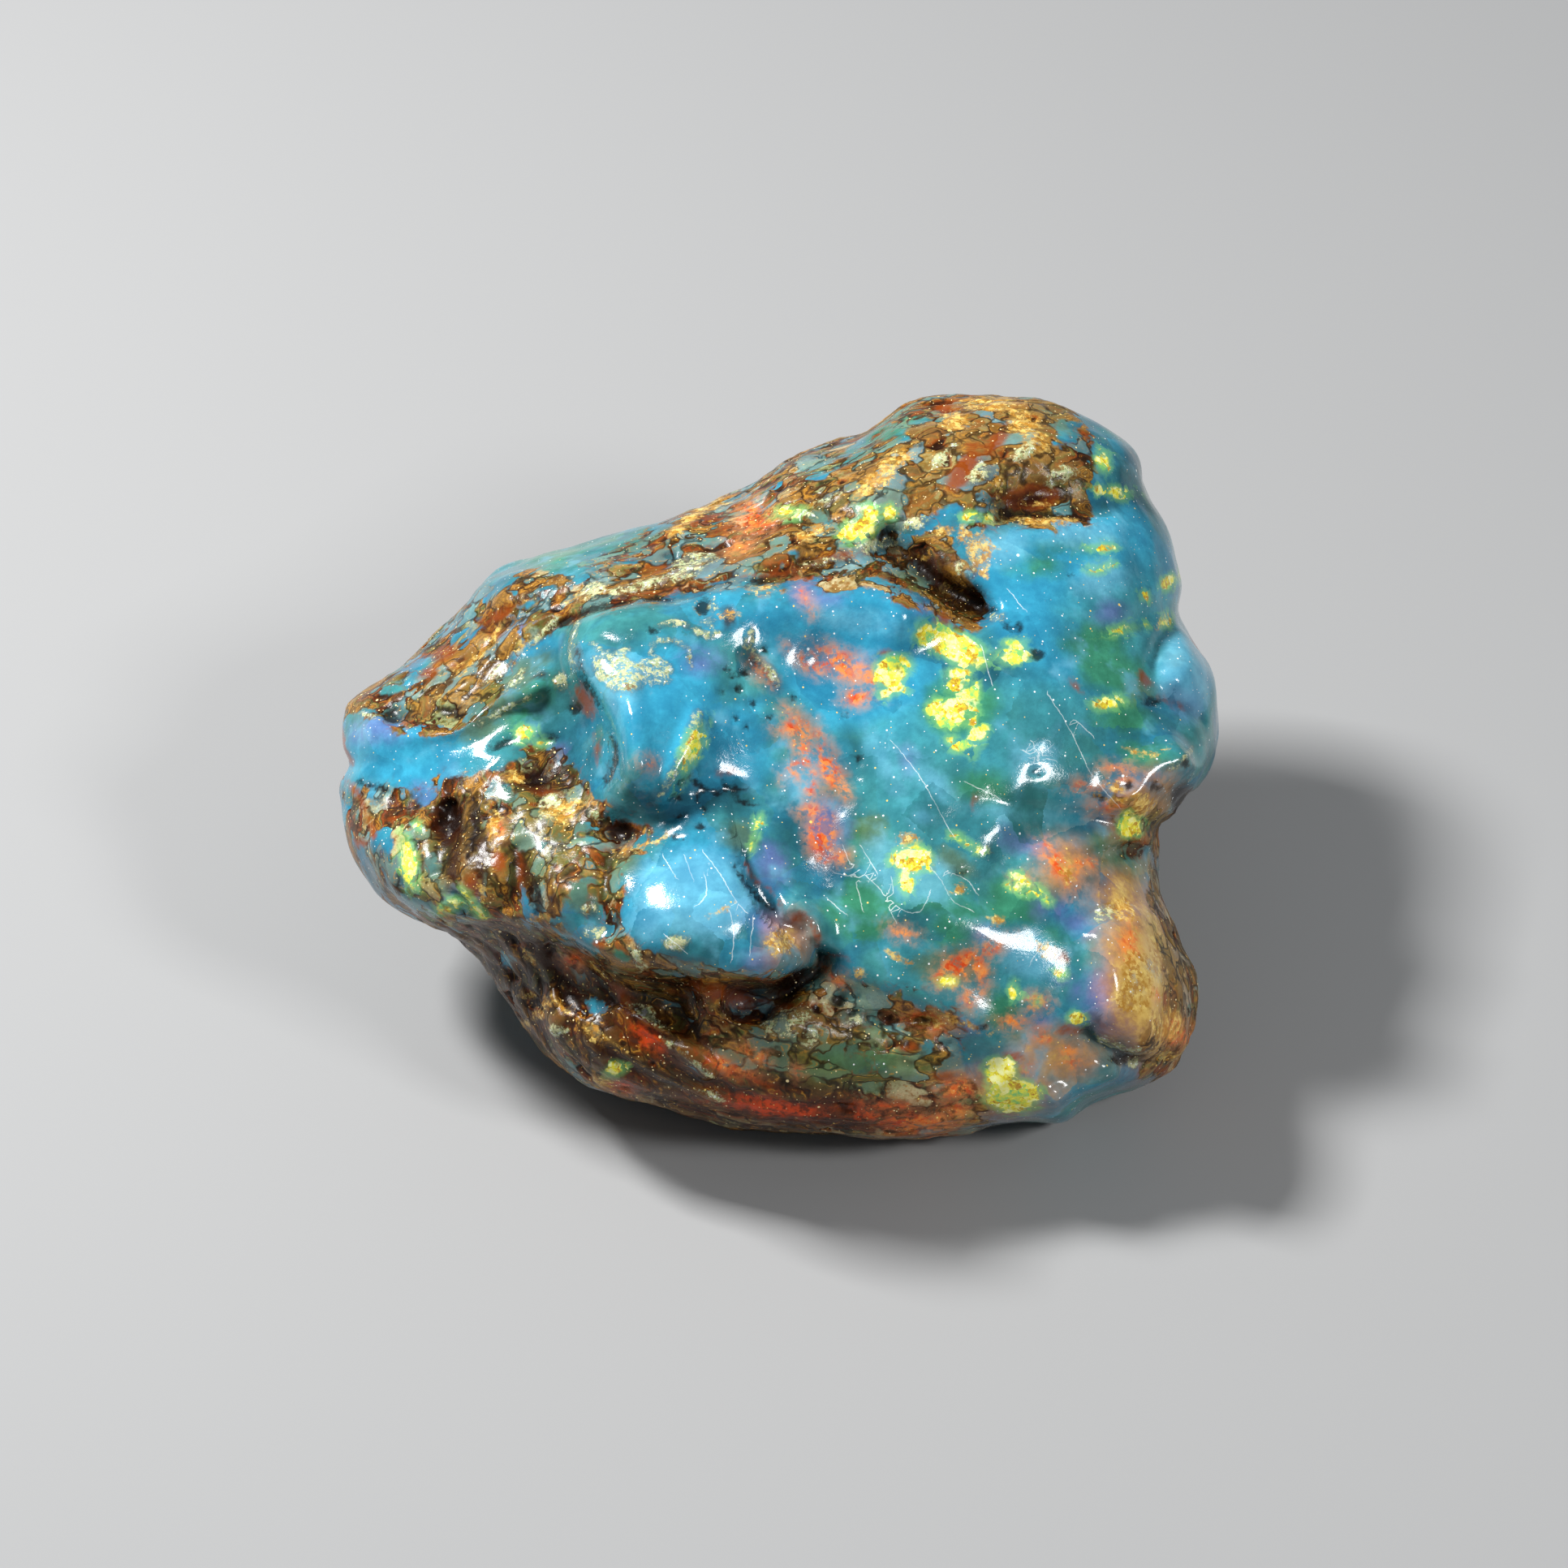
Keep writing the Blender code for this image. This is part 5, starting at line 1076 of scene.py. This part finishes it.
def body_colour(board, waves, tones):
    """Milky blue to teal, with flat facets, soft stains with some painted shade and light, clouds
    and pale walls between the facets.
    """
    lumps, grain, facet = waves["lumps"], waves["grain"], waves["facet"]
    teal_share = board.rise(board.shifted(waves["broad"][0], (lumps[0], 0.5)), 0.35, 0.65)
    colour = board.blend(teal_share, tones["body_blue"], tones["body_teal"])
    colour = board.stain(colour, tones["body_teal"], facet[1], 0.6, 0.66, 0.5)
    colour = board.stain(colour, tones["bright_blue"], facet[2], 0.64, 0.7, 0.5)
    for name, tone, low, high, by_lumps, by_grain, strength in BODY_STAINS:
        edge = board.shifted(board.field(name), (lumps[1], by_lumps), (grain[1], by_grain), (facet[0], 0.5))
        colour = board.stain(colour, tones[tone], edge, low, high, strength)
    tilt = board.bands(facet[0], [(0.0, (0.36,) * 3), (1.0, (0.72,) * 3)])
    colour = board.blend(0.5, colour, tilt, "SOFT_LIGHT")
    clouds = board.rise(board.shifted(lumps[2], (grain[2], 0.6)), 0.2, 0.8)
    clouds = board.bands(clouds, [
        (0.0, paint(130, 135, 140)), (0.5, paint(186, 186, 186)), (1.0, paint(235, 240, 240))])
    colour = board.blend(0.5, colour, clouds, "SOFT_LIGHT")
    wall = board.rise(waves["wall"], 0.52, 0.78)
    wall = board.maths("MULTIPLY", wall, board.rise(lumps[0], 0.48, 0.7, 0.0, 0.5))
    return board.blend(wall, colour, tones["milk"])


def crust_tone(board, waves, tones, under):
    """Tones of the glassy crust: layers and knobs, olive and gilt in places, maroon with painted shade
    on the shady wall, pitted, with painted shade in its hollows and lighter tan on its crests, and
    clear where it is thin, so that the stone under it shows."""
    lumps, grain, dust, knob = (waves[name] for name in ("lumps", "grain", "dust", "knob"))
    lines = board.shifted(board.field("layers"), (grain[2], 0.3), (lumps[2], 0.5), (dust[0], 0.1))
    lines = board.maths("PINGPONG", board.maths("MULTIPLY_ADD", lines, 1.5, 0.6), 1.0)
    tone = board.bands(lines, [
        (0.0, tones["crust_dark"]), (0.18, tones["crust_brown"]), (0.34, tones["rust"]),
        (0.46, tones["crust_brown"]), (0.58, tones["olive"]), (0.68, tones["crust_tan"]),
        (0.78, tones["crust_brown"]), (0.9, tones["gold"]), (1.0, tones["crust_brown"])])
    plain = board.bands(board.shifted(knob[1], (grain[0], 0.35), (lumps[2], 0.25)), [
        (0.0, tones["crust_dark"]), (0.16, tones["rust"]), (0.28, tones["crust_brown"]),
        (0.38, tones["crust_tan"]), (0.46, tones["crust_brown"]), (0.54, tones["olive"]),
        (0.61, tones["lichen"]), (0.67, tones["crust_brown"]), (0.75, tones["rust"]),
        (0.83, tones["cream"]), (0.9, tones["crust_tan"]), (1.0, tones["crust_dark"])])
    tone = board.blend(board.rise(knob[2], 0.3, 0.6, 0.1, 0.75), tone, plain)

    olive = board.shifted(board.field("olive"), (lumps[1], 1.0), (grain[1], 0.4))
    tone = board.stain(tone, tones["olive"], olive, -0.4, 0.6, 0.65)
    gilding = board.shifted(board.field("gilt"), (lumps[1], 1.2), (grain[1], 0.4), (knob[0], 0.8))
    gilded = board.stain(tones["crust_tan"], tones["gold"], knob[2], 0.3, 0.8)
    tone = board.stain(tone, gilded, gilding, -0.3, 0.6, 0.45)
    # Painted shade: the shady wall is darkened toward maroon, over the crust's own dark brown.
    shady = board.shifted(board.field("shady"), (lumps[1], 1.2), (grain[1], 0.4))
    shady = board.rise(shady, -0.5, 0.7, 0.0, 0.75)
    tone = board.blend(shady, tone, tones["maroon"])
    pitting = board.shifted(board.field("pitting"), (grain[0], 0.25))
    tone = board.stain(tone, tones["rust"], pitting, 0.08, 0.3, 0.7)
    tone = board.stain(tone, tones["crust_dark"], pitting, 0.3, 0.6, 0.85)
    # Painted shade: darker in the hollows of the crust; lighter tan on its crests.
    hollow = board.field("hollow")
    tone = board.stain(tone, tones["crust_dark"], hollow, 0.0, 0.16, 0.6)
    tone = board.stain(tone, tones["crust_tan"], hollow, -0.02, -0.12, 0.3)

    thin = board.rise(board.shifted(knob[2], (lumps[2], 0.4)), 0.6, 0.72, 0.0, 0.75)
    thin = board.maths("MULTIPLY", thin, board.rise(shady, 0.0, 0.3, 1.0, 0.0))
    return board.blend(thin, tone, board.blend(0.15, under, tones["lichen"]))


def crust_colour(board, waves, tones, under):
    """The crust over the stone, with dark seams that gold lines follow, and with stains and rusty
    threads in the stone around it; also gives how much is crust."""
    lumps, grain, knob = waves["lumps"], waves["grain"], waves["knob"]
    edge = board.shifted(board.field("crust"), (lumps[0], 1.3), (grain[0], 0.35), (knob[0], 0.9))
    crust = board.rise(edge, -0.4, -0.15)
    seam = board.shifted(waves["seam"], (grain[0], 0.14), (lumps[1], 0.22))
    tone = crust_tone(board, waves, tones, under)
    tone = board.blend(board.rise(seam, 0.0, 0.13, 0.8, 0.0), tone, tones["crust_dark"])
    gleam = board.rise(board.maths("ABSOLUTE", board.maths("SUBTRACT", seam, 0.14)), 0.0, 0.05, 0.75, 0.0)
    gleam = board.maths("MULTIPLY", gleam, board.rise(grain[1], 0.5, 0.62))
    tone = board.blend(gleam, tone, tones["gold"])

    reach = board.rise(edge, -0.9, 0.1)
    stain = board.maths("MULTIPLY", reach, board.rise(grain[0], 0.4, 0.6, 0.0, 0.4))
    under = board.blend(stain, under, tones["crust_brown"])
    thread = board.rise(seam, 0.02, 0.07, 0.8, 0.0)
    thread = board.maths("MULTIPLY", thread, board.rise(lumps[1], 0.46, 0.56))
    under = board.blend(board.maths("MULTIPLY", thread, reach), under, tones["rust"])
    return board.blend(crust, under, tone), crust


def iron_stains(board, waves, tones, colour):
    """Rust and maroon stains, drawn out along the layers."""
    lumps, grain, layers = waves["lumps"], waves["grain"], board.field("layers")
    for name in ("rust", "maroon"):
        edge = board.shifted(board.field(name), (lumps[1], 0.8), (grain[2], 0.5), (layers, 0.25))
        colour = board.stain(colour, tones[name], edge, -0.2, 0.25, 0.85)
    return colour


def orange_fires(board, waves, tones, colour):
    """Wisps of peach glow, and orange to red fire inside it, turned red and rust on the shady wall
    as painted shade.
    """
    lumps, grain = waves["lumps"], waves["grain"]
    edge = board.shifted(board.field("orange"), (lumps[2], 0.7), (grain[1], 0.7))
    wisps = board.rise(board.shifted(grain[2], (lumps[0], 0.5)), 0.38, 0.56, 0.2, 1.0)
    # Painted shade: on the shady wall the glow turns to rust and the fire to red.
    shady = board.rise(board.field("shady"), -0.5, 0.7)
    glow = board.maths("MULTIPLY", board.rise(edge, -0.7, 0.1, 0.0, 0.5), wisps)
    colour = board.blend(glow, colour, board.blend(shady, tones["peach"], tones["rust"]))
    heat = board.shifted(lumps[1], (waves["chip"][0], 0.3))
    ember = board.stain(tones["fire_orange"], tones["fire_red"], heat, 0.35, 0.7)
    ember = board.blend(shady, ember, tones["fire_red"])
    fire = board.maths("MULTIPLY", board.rise(edge, -0.2, 0.35, 0.0, 0.95), wisps)
    return board.blend(fire, colour, ember)


def gold_leaf(board, waves, tones, colour):
    """Lacy leaves of gold-coloured mineral."""
    lumps, grain, dust, chip = (waves[name] for name in ("lumps", "grain", "dust", "chip"))
    edge = board.shifted(board.field("gold"), (lumps[0], 0.5), (grain[0], 0.5), (chip[1], 0.2))
    leaf = board.shifted(grain[2], (chip[2], 0.4))
    leaf = board.stain(tones["gold"], tones["gold_light"], leaf, 0.35, 0.75)
    lace = board.rise(board.shifted(grain[1], (dust[0], 0.5)), 0.4, 0.52, 0.3, 1.0)
    share = board.maths("MULTIPLY", board.rise(edge, -0.1, 0.14, 0.0, 0.85), lace)
    return board.blend(share, colour, leaf)


def chalky_crust(board, waves, tones, colour):
    """Lacy cream and lichen-coloured crust with a thin brown rim."""
    lumps, grain, dust, chip = (waves[name] for name in ("lumps", "grain", "dust", "chip"))
    edge = board.shifted(board.field("cream"), (lumps[1], 0.5), (grain[2], 0.6), (chip[0], 0.1))
    colour = board.stain(colour, tones["crust_brown"], edge, -0.22, -0.04, 0.25)
    chalk = board.bands(board.shifted(grain[1], (dust[1], 0.5), (chip[1], 0.4)), [
        (0.2, tones["crust_tan"]), (0.36, tones["lichen"]), (0.5, tones["cream"]), (0.64, tones["lichen"]),
        (0.8, tones["fibre"])])
    lace = board.rise(board.shifted(grain[0], (dust[2], 0.5), (lumps[2], 0.4)), 0.44, 0.55, 0.12, 1.0)
    share = board.maths("MULTIPLY", board.rise(edge, -0.1, 0.08, 0.0, 0.9), lace)
    return board.blend(share, colour, chalk)


def yellow_fires(board, waves, tones, colour):
    """Flakes of yellow to green fire with a green rim."""
    lumps, grain, flake = waves["lumps"], waves["grain"], waves["flake"]
    edge = board.shifted(board.field("yellow"), (lumps[0], 0.25), (grain[2], 0.35), (flake[0], 0.3))
    colour = board.stain(colour, tones["fire_green"], edge, -0.35, 0.0, 0.5)
    fire = board.bands(board.shifted(flake[1], (grain[0], 0.6), (waves["chip"][2], 0.25)), [
        (0.0, tones["fire_green"]), (0.2, tones["fire_yellow"]), (0.42, tones["fire_pale"]),
        (0.56, tones["fire_yellow"]), (0.74, tones["gold"]), (0.84, tones["fire_yellow"]),
        (1.0, tones["fire_pale"])])
    return board.stain(colour, fire, edge, -0.04, 0.1)


def dark_marks_and_shade(board, waves, tones, colour):
    """Dark pits, dendrites and slits with their painted shadows, and painted shade in all that is sunk."""
    edge = board.shifted(board.field("dark"), (waves["lumps"][2], 0.5), (waves["grain"][1], 0.7))
    colour = board.stain(colour, tones["pit"], edge, -0.15, 0.12, 0.85)
    # Painted shade: darker wherever the surface is sunk below its surroundings.
    return board.stain(colour, tones["pit"], board.field("hollow"), 0.05, 0.35, 0.45)


# Patches that lie on stone and crust, in the order in which they cover each other.
PATCHES = (iron_stains, orange_fires, gold_leaf, chalky_crust, yellow_fires, dark_marks_and_shade)


def hairs_share(board, waves, hair_width):
    """Where a white fibre shows: thin along its line, and fainter in places and toward its ends."""
    half_width = 0.5 * hair_width / MM
    off_line = board.maths("ABSOLUTE", board.shifted(board.field("hair_side"), (waves["grain"][0], 0.2)))
    on_line = board.rise(off_line, half_width, 1.6 * half_width, 1.0, 0.0)
    near = board.rise(board.field("hair_reach"), 0.14, 0.22, 0.5, 0.0)
    near = board.maths("MULTIPLY", near, board.rise(waves["lumps"][2], 0.35, 0.6, 0.35, 1.0))
    return board.maths("MULTIPLY", on_line, near)


def painted_glints_colour(board, place, crust, tones, colour):
    """Round painted glints in some cells of each size: white on the stone, mostly gold on the crust."""
    gilding = board.rise(crust, 0.0, 1.0, 0.0, 0.75)
    for size, radius, on_stone, on_crust in GLINT_SPECKS:
        node = board.add("ShaderNodeTexVoronoi", {"Vector": place, "Scale": 1.0 / size}, "Distance").node
        pick, kind, _ = board.parts(node.outputs["Color"])
        disc = board.rise(node.outputs["Distance"], 0.6 * radius / size, 1.1 * radius / size, 1.0, 0.0)
        picked = board.maths("LESS_THAN", pick, board.rise(crust, 0.0, 1.0, on_stone, on_crust))
        tone = board.blend(gilding, tones["fibre"], tones["gold_light"])
        tone = board.blend(board.maths("GREATER_THAN", kind, 0.75), tone, tones["gold_light"])
        colour = board.blend(board.maths("MULTIPLY", disc, picked), colour, tone)
    return colour


def grain_height(board, waves):
    """Height of the finest relief: grain and dust all over, rougher on the crust, whose knobs are
    rounded off by the square of the distance from their middles."""
    crusted = board.rise(board.field("crust"), -0.6, 0.4)
    height = board.maths("MULTIPLY", board.maths("MULTIPLY_ADD", crusted, 0.4, 0.3), waves["grain"][2])
    height = board.maths("MULTIPLY_ADD", waves["dust"][1], 0.12, height)
    rounding = board.maths("MULTIPLY", crusted, board.maths("POWER", waves["dome"], 2.0))
    return board.maths("MULTIPLY_ADD", rounding, -1.8, height)


def opal_material(tones, sizes):
    """Milky blue stone with colour patches, some of them painted shade and light, fires in flakes,
    glassy brown crust, fibres and painted glints.
    The crust is a little rougher than the stone and has less of a clear coat."""
    material = bpy.data.materials.new("opal stone")
    board = Board(material)
    place = board.add("ShaderNodeTexCoord", {}, "Object")
    place = board.add("ShaderNodeVectorMath", {0: place, "Scale": 1.0 / MM}, operation="SCALE")
    waves = shared_waves(board, place)

    colour = body_colour(board, waves, tones)
    colour, crust = crust_colour(board, waves, tones, colour)
    for patch in PATCHES:
        colour = patch(board, waves, tones, colour)
    colour = board.blend(hairs_share(board, waves, sizes.hair_width), colour, tones["fibre"])
    colour = painted_glints_colour(board, place, crust, tones, colour)
    rough = board.maths("MULTIPLY_ADD", crust, 0.14, sizes.gloss)
    height = grain_height(board, waves)
    bump = {"Height": height, "Distance": sizes.grain_relief, "Strength": 1.0}
    linked = {
        "Base Color": colour, "Roughness": board.shifted(rough, (waves["grain"][1], 0.12)),
        "Coat Weight": board.rise(crust, 0.0, 1.0, 0.22, 0.05), "Normal": board.add("ShaderNodeBump", bump),
    }
    for name, output in linked.items():
        board.set_input(board.surface.inputs[name], output)
    board.surface.inputs["Coat Roughness"].default_value = 0.04
    board.surface.inputs["IOR"].default_value = 1.4
    board.surface.inputs["Specular IOR Level"].default_value = 0.3
    return material


def plain_material(name, colour, roughness):
    """An even, matt sheet."""
    material = bpy.data.materials.new(name)
    board = Board(material)
    board.surface.inputs["Base Color"].default_value = (*colour, 1.0)
    board.surface.inputs["Roughness"].default_value = roughness
    return material


def new_object(name, points, faces):
    """An object with a smooth-shaded mesh of these points and faces, put in the scene."""
    mesh = bpy.data.meshes.new(name)
    mesh.from_pydata(points, [], faces)
    mesh.shade_smooth()
    mesh.update()
    item = bpy.data.objects.new(name, mesh)
    bpy.context.scene.collection.objects.link(item)
    return item


def tone_property(name, description, red, green, blue):
    """A colour that the user can change, from values of 0 to 255."""
    return bpy.props.FloatVectorProperty(
        name=name, description=description, subtype="COLOR", size=3, min=0.0, max=1.0,
        default=paint(red, green, blue))


def length_property(name, description, default):
    """A length that the user can change, in metres."""
    return bpy.props.FloatProperty(
        name=name, description=description, default=default, unit="LENGTH", precision=5)


def power_property(name, description, default):
    """The power of a light that the user can change, in watts."""
    return bpy.props.FloatProperty(name=name, description=description, default=default, unit="POWER")


class OpalTones(bpy.types.PropertyGroup):
    """Colours of the stone."""
    body_blue: tone_property("Body blue", "Milky blue of the stone", 44, 110, 134)
    body_teal: tone_property("Body teal", "Greener parts of the stone", 58, 122, 122)
    bright_blue: tone_property("Bright blue", "Lively blue of the broad face", 48, 134, 166)
    # Also the painted shade of the hollows and valleys of the stone.
    deep_teal: tone_property("Deep teal", "Darkest blue in the hollows", 22, 62, 78)
    violet: tone_property("Violet", "Violet haze", 98, 98, 160)
    milk: tone_property("Milk", "Pale veils and cell walls", 104, 172, 198)
    jade: tone_property("Jade", "Green zones", 52, 116, 82)
    olive: tone_property("Olive", "Olive stain in stone and crust", 88, 98, 52)
    fire_yellow: tone_property("Yellow fire", "Flakes of yellow fire", 236, 226, 64)
    fire_pale: tone_property("Pale fire", "Palest flakes of yellow fire", 244, 246, 170)
    fire_green: tone_property("Green fire", "Green rim of the yellow fire", 128, 196, 112)
    fire_orange: tone_property("Orange fire", "Flakes of orange fire", 240, 142, 66)
    fire_red: tone_property("Red fire", "Heart of the orange fire", 208, 68, 22)
    peach: tone_property("Peach", "Glow around the orange fire", 196, 132, 88)
    # Also the painted shade in the crust's hollows.
    crust_dark: tone_property("Dark crust", "Crust in its grooves", 30, 17, 8)
    crust_brown: tone_property("Brown crust", "Main tone of the crust", 80, 46, 20)
    crust_tan: tone_property("Tan crust", "Crests of the crust", 142, 110, 60)
    rust: tone_property("Rust", "Iron stains", 134, 62, 18)
    # Also the painted shade of the wall under the lip.
    maroon: tone_property("Maroon", "Darkest iron stains", 50, 24, 11)
    gold: tone_property("Gold", "Gold-coloured mineral", 176, 124, 46)
    # Also the painted glints on the crust and the painted light of the right knob's glow.
    gold_light: tone_property("Light gold", "Brightest gold-coloured flakes", 236, 202, 112)
    cream: tone_property("Cream", "Chalky crust", 212, 204, 156)
    lichen: tone_property("Lichen green", "Green-white chalky crust", 158, 176, 128)
    # Also the painted shadows of crevices and the painted shade of all that is sunk.
    pit: tone_property("Pit", "Bottom of the pits", 26, 16, 11)
    # Also the colour of the painted glints on the stone.
    fibre: tone_property("Fibre", "White fibres and specks", 240, 244, 242)


class OpalSizes(bpy.types.PropertyGroup):
    """Sizes and finish of the stone."""
    cells: bpy.props.IntProperty(
        name="Cells", description="Cells along each side of the stone's grid", default=128, min=24, max=128)
    crust_relief: length_property("Crust relief", "Height of the crust's layers", 0.2 * MM)
    skin_relief: length_property("Skin relief", "Height of the fine dimples", 0.035 * MM)
    grain_relief: length_property("Grain relief", "Height of the finest grain", 0.05 * MM)
    hair_width: length_property("Fibre width", "Thickness of the white fibres", 0.038 * MM)
    gloss: bpy.props.FloatProperty(
        name="Roughness", description="Roughness of the polished stone", default=0.16,
        min=0.0, max=1.0, subtype="FACTOR")


class OpalStage(bpy.types.PropertyGroup):
    """Floor, lights and camera."""
    floor_tone: tone_property("Floor", "Colour of the studio floor", 150, 150, 150)
    floor_radius: length_property("Floor radius", "Radius of the round floor", 1.5)
    key_power: power_property("Key light", "Power of the main light", 1.5)
    key_size: length_property("Key size", "Side of the main light", 0.06)
    fill_power: power_property("Fill light", "Power of the fill light", 0.55)
    sky_strength: bpy.props.FloatProperty(
        name="Room light", description="Strength of the even light of the room", default=0.2)
    view_distance: length_property(
        "Camera distance", "From the camera to the middle of the stone", VIEW_DISTANCE)


class OPAL_OT_make_stone(bpy.types.Operator):
    """Make the opal stone with its crust, colours and fibres"""
    bl_idname = "opal.make_stone"
    bl_label = "Make stone"

    def execute(self, context):
        sizes = context.scene.opal_sizes
        points, faces, fields = stone_surface(sizes.cells, sizes.crust_relief, sizes.skin_relief)
        stone = new_object("opal_stone", points, faces)
        for name, values in fields.items():
            kept = stone.data.attributes.new(name, "FLOAT", "POINT")
            kept.data.foreach_set("value", values.astype(np.float32))
        tones = {name: tuple(getattr(context.scene.opal_tones, name)) for name in OpalTones.__annotations__}
        stone.data.materials.append(opal_material(tones, sizes))
        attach(stone, "root")
        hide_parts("stone")
        return {"FINISHED"}


def aimed(item, place, target):
    """Put a light or the camera at its place, looking at the target."""
    item.location = place
    item.rotation_mode = "QUATERNION"
    item.rotation_quaternion = (Vector(target) - Vector(place)).to_track_quat("-Z", "Y")
    bpy.context.scene.collection.objects.link(item)


def area_light(name, place, side, power):
    """A square light that points at the stone."""
    light = bpy.data.lights.new(name, "AREA")
    light.size = side
    light.energy = power
    aimed(bpy.data.objects.new(name, light), place, LIGHT_TARGET)


def floor_disc(radius):
    """A flat disc of two parameters, the distance from its middle and the angle around it."""
    rings, sides = 24, 72
    reach = radius * np.linspace(0.0, 1.0, rings + 1)[1:] ** 2
    angle = math.tau * np.arange(sides) / sides
    reach, angle = np.meshgrid(reach, angle, indexing="ij")
    points = np.stack([reach * np.cos(angle), reach * np.sin(angle), 0.0 * reach], axis=-1).reshape(-1, 3)
    index = np.arange(rings * sides).reshape(rings, sides)
    after = np.roll(index, -1, axis=1)
    quads = np.stack([index[:-1], index[1:], after[1:], after[:-1]], axis=-1).reshape(-1, 4)
    middle = np.full(sides, rings * sides)
    fan = np.stack([middle, index[0], after[0]], axis=-1)
    return np.vstack([points, np.zeros((1, 3))]), quads.tolist() + fan.tolist()


class OPAL_OT_set_stage(bpy.types.Operator):
    """Set the floor, the lights and the camera"""
    bl_idname = "opal.set_stage"
    bl_label = "Set stage"

    def execute(self, context):
        stage = context.scene.opal_stage
        floor = new_object("studio_floor", *floor_disc(stage.floor_radius))
        floor.data.materials.append(plain_material("studio paper", stage.floor_tone, FLOOR_ROUGHNESS))
        area_light("key", KEY_PLACE, stage.key_size, stage.key_power)
        area_light("fill", FILL_PLACE, FILL_SIZE, stage.fill_power)
        world = bpy.data.worlds.new("room")
        context.scene.world = world
        world.use_nodes = True
        room = world.node_tree.nodes["Background"].inputs
        room["Color"].default_value = (*ROOM_TINT, 1.0)
        room["Strength"].default_value = stage.sky_strength
        camera = bpy.data.cameras.new("camera")
        camera.lens = SENSOR_WIDTH * stage.view_distance / PICTURE_WIDTH
        camera.clip_start = 0.01
        tilt = math.radians(FACE_TILT)
        toward = Vector((0.0, -math.cos(tilt), math.sin(tilt)))
        upward = Vector((0.0, math.sin(tilt), math.cos(tilt)))
        across, up = PICTURE_SHIFT
        aim = Vector(MIDDLE) + Vector((across, 0.0, 0.0)) + up * upward
        item = bpy.data.objects.new("camera", camera)
        aimed(item, aim + stage.view_distance * toward, aim)
        context.scene.camera = item
        context.scene.view_settings.view_transform = "Standard"
        return {"FINISHED"}


class OPAL_PT_pieces(bpy.types.Panel):
    """The pieces of the opal nodule and their sizes and colours"""
    bl_label = "Opal nodule"
    bl_space_type = "VIEW_3D"
    bl_region_type = "UI"
    bl_category = "Opal"

    def draw(self, context):
        scene = context.scene
        pairs = (
            (scene.opal_sizes, OPAL_OT_make_stone), (scene.opal_tones, None),
            (scene.opal_stage, OPAL_OT_set_stage))
        for group, operator in pairs:
            box = self.layout.box()
            for name in type(group).__annotations__:
                box.prop(group, name)
            if operator:
                box.operator(operator.bl_idname)


CLASSES = (OpalTones, OpalSizes, OpalStage, OPAL_OT_make_stone, OPAL_OT_set_stage, OPAL_PT_pieces)
SCENE_GROUPS = {"opal_tones": OpalTones, "opal_sizes": OpalSizes, "opal_stage": OpalStage}


def register():
    """Make the classes and their values known to Blender."""
    for item in CLASSES:
        bpy.utils.register_class(item)
    for name, group in SCENE_GROUPS.items():
        setattr(bpy.types.Scene, name, bpy.props.PointerProperty(type=group))


def unregister():
    """Take back what register did."""
    for name in SCENE_GROUPS:
        delattr(bpy.types.Scene, name)
    for item in reversed(CLASSES):
        bpy.utils.unregister_class(item)


def main():
    """Make the stone and its stage."""
    register()
    bpy.ops.opal.make_stone()
    bpy.ops.opal.set_stage()


if __name__ == "__main__":
    main()
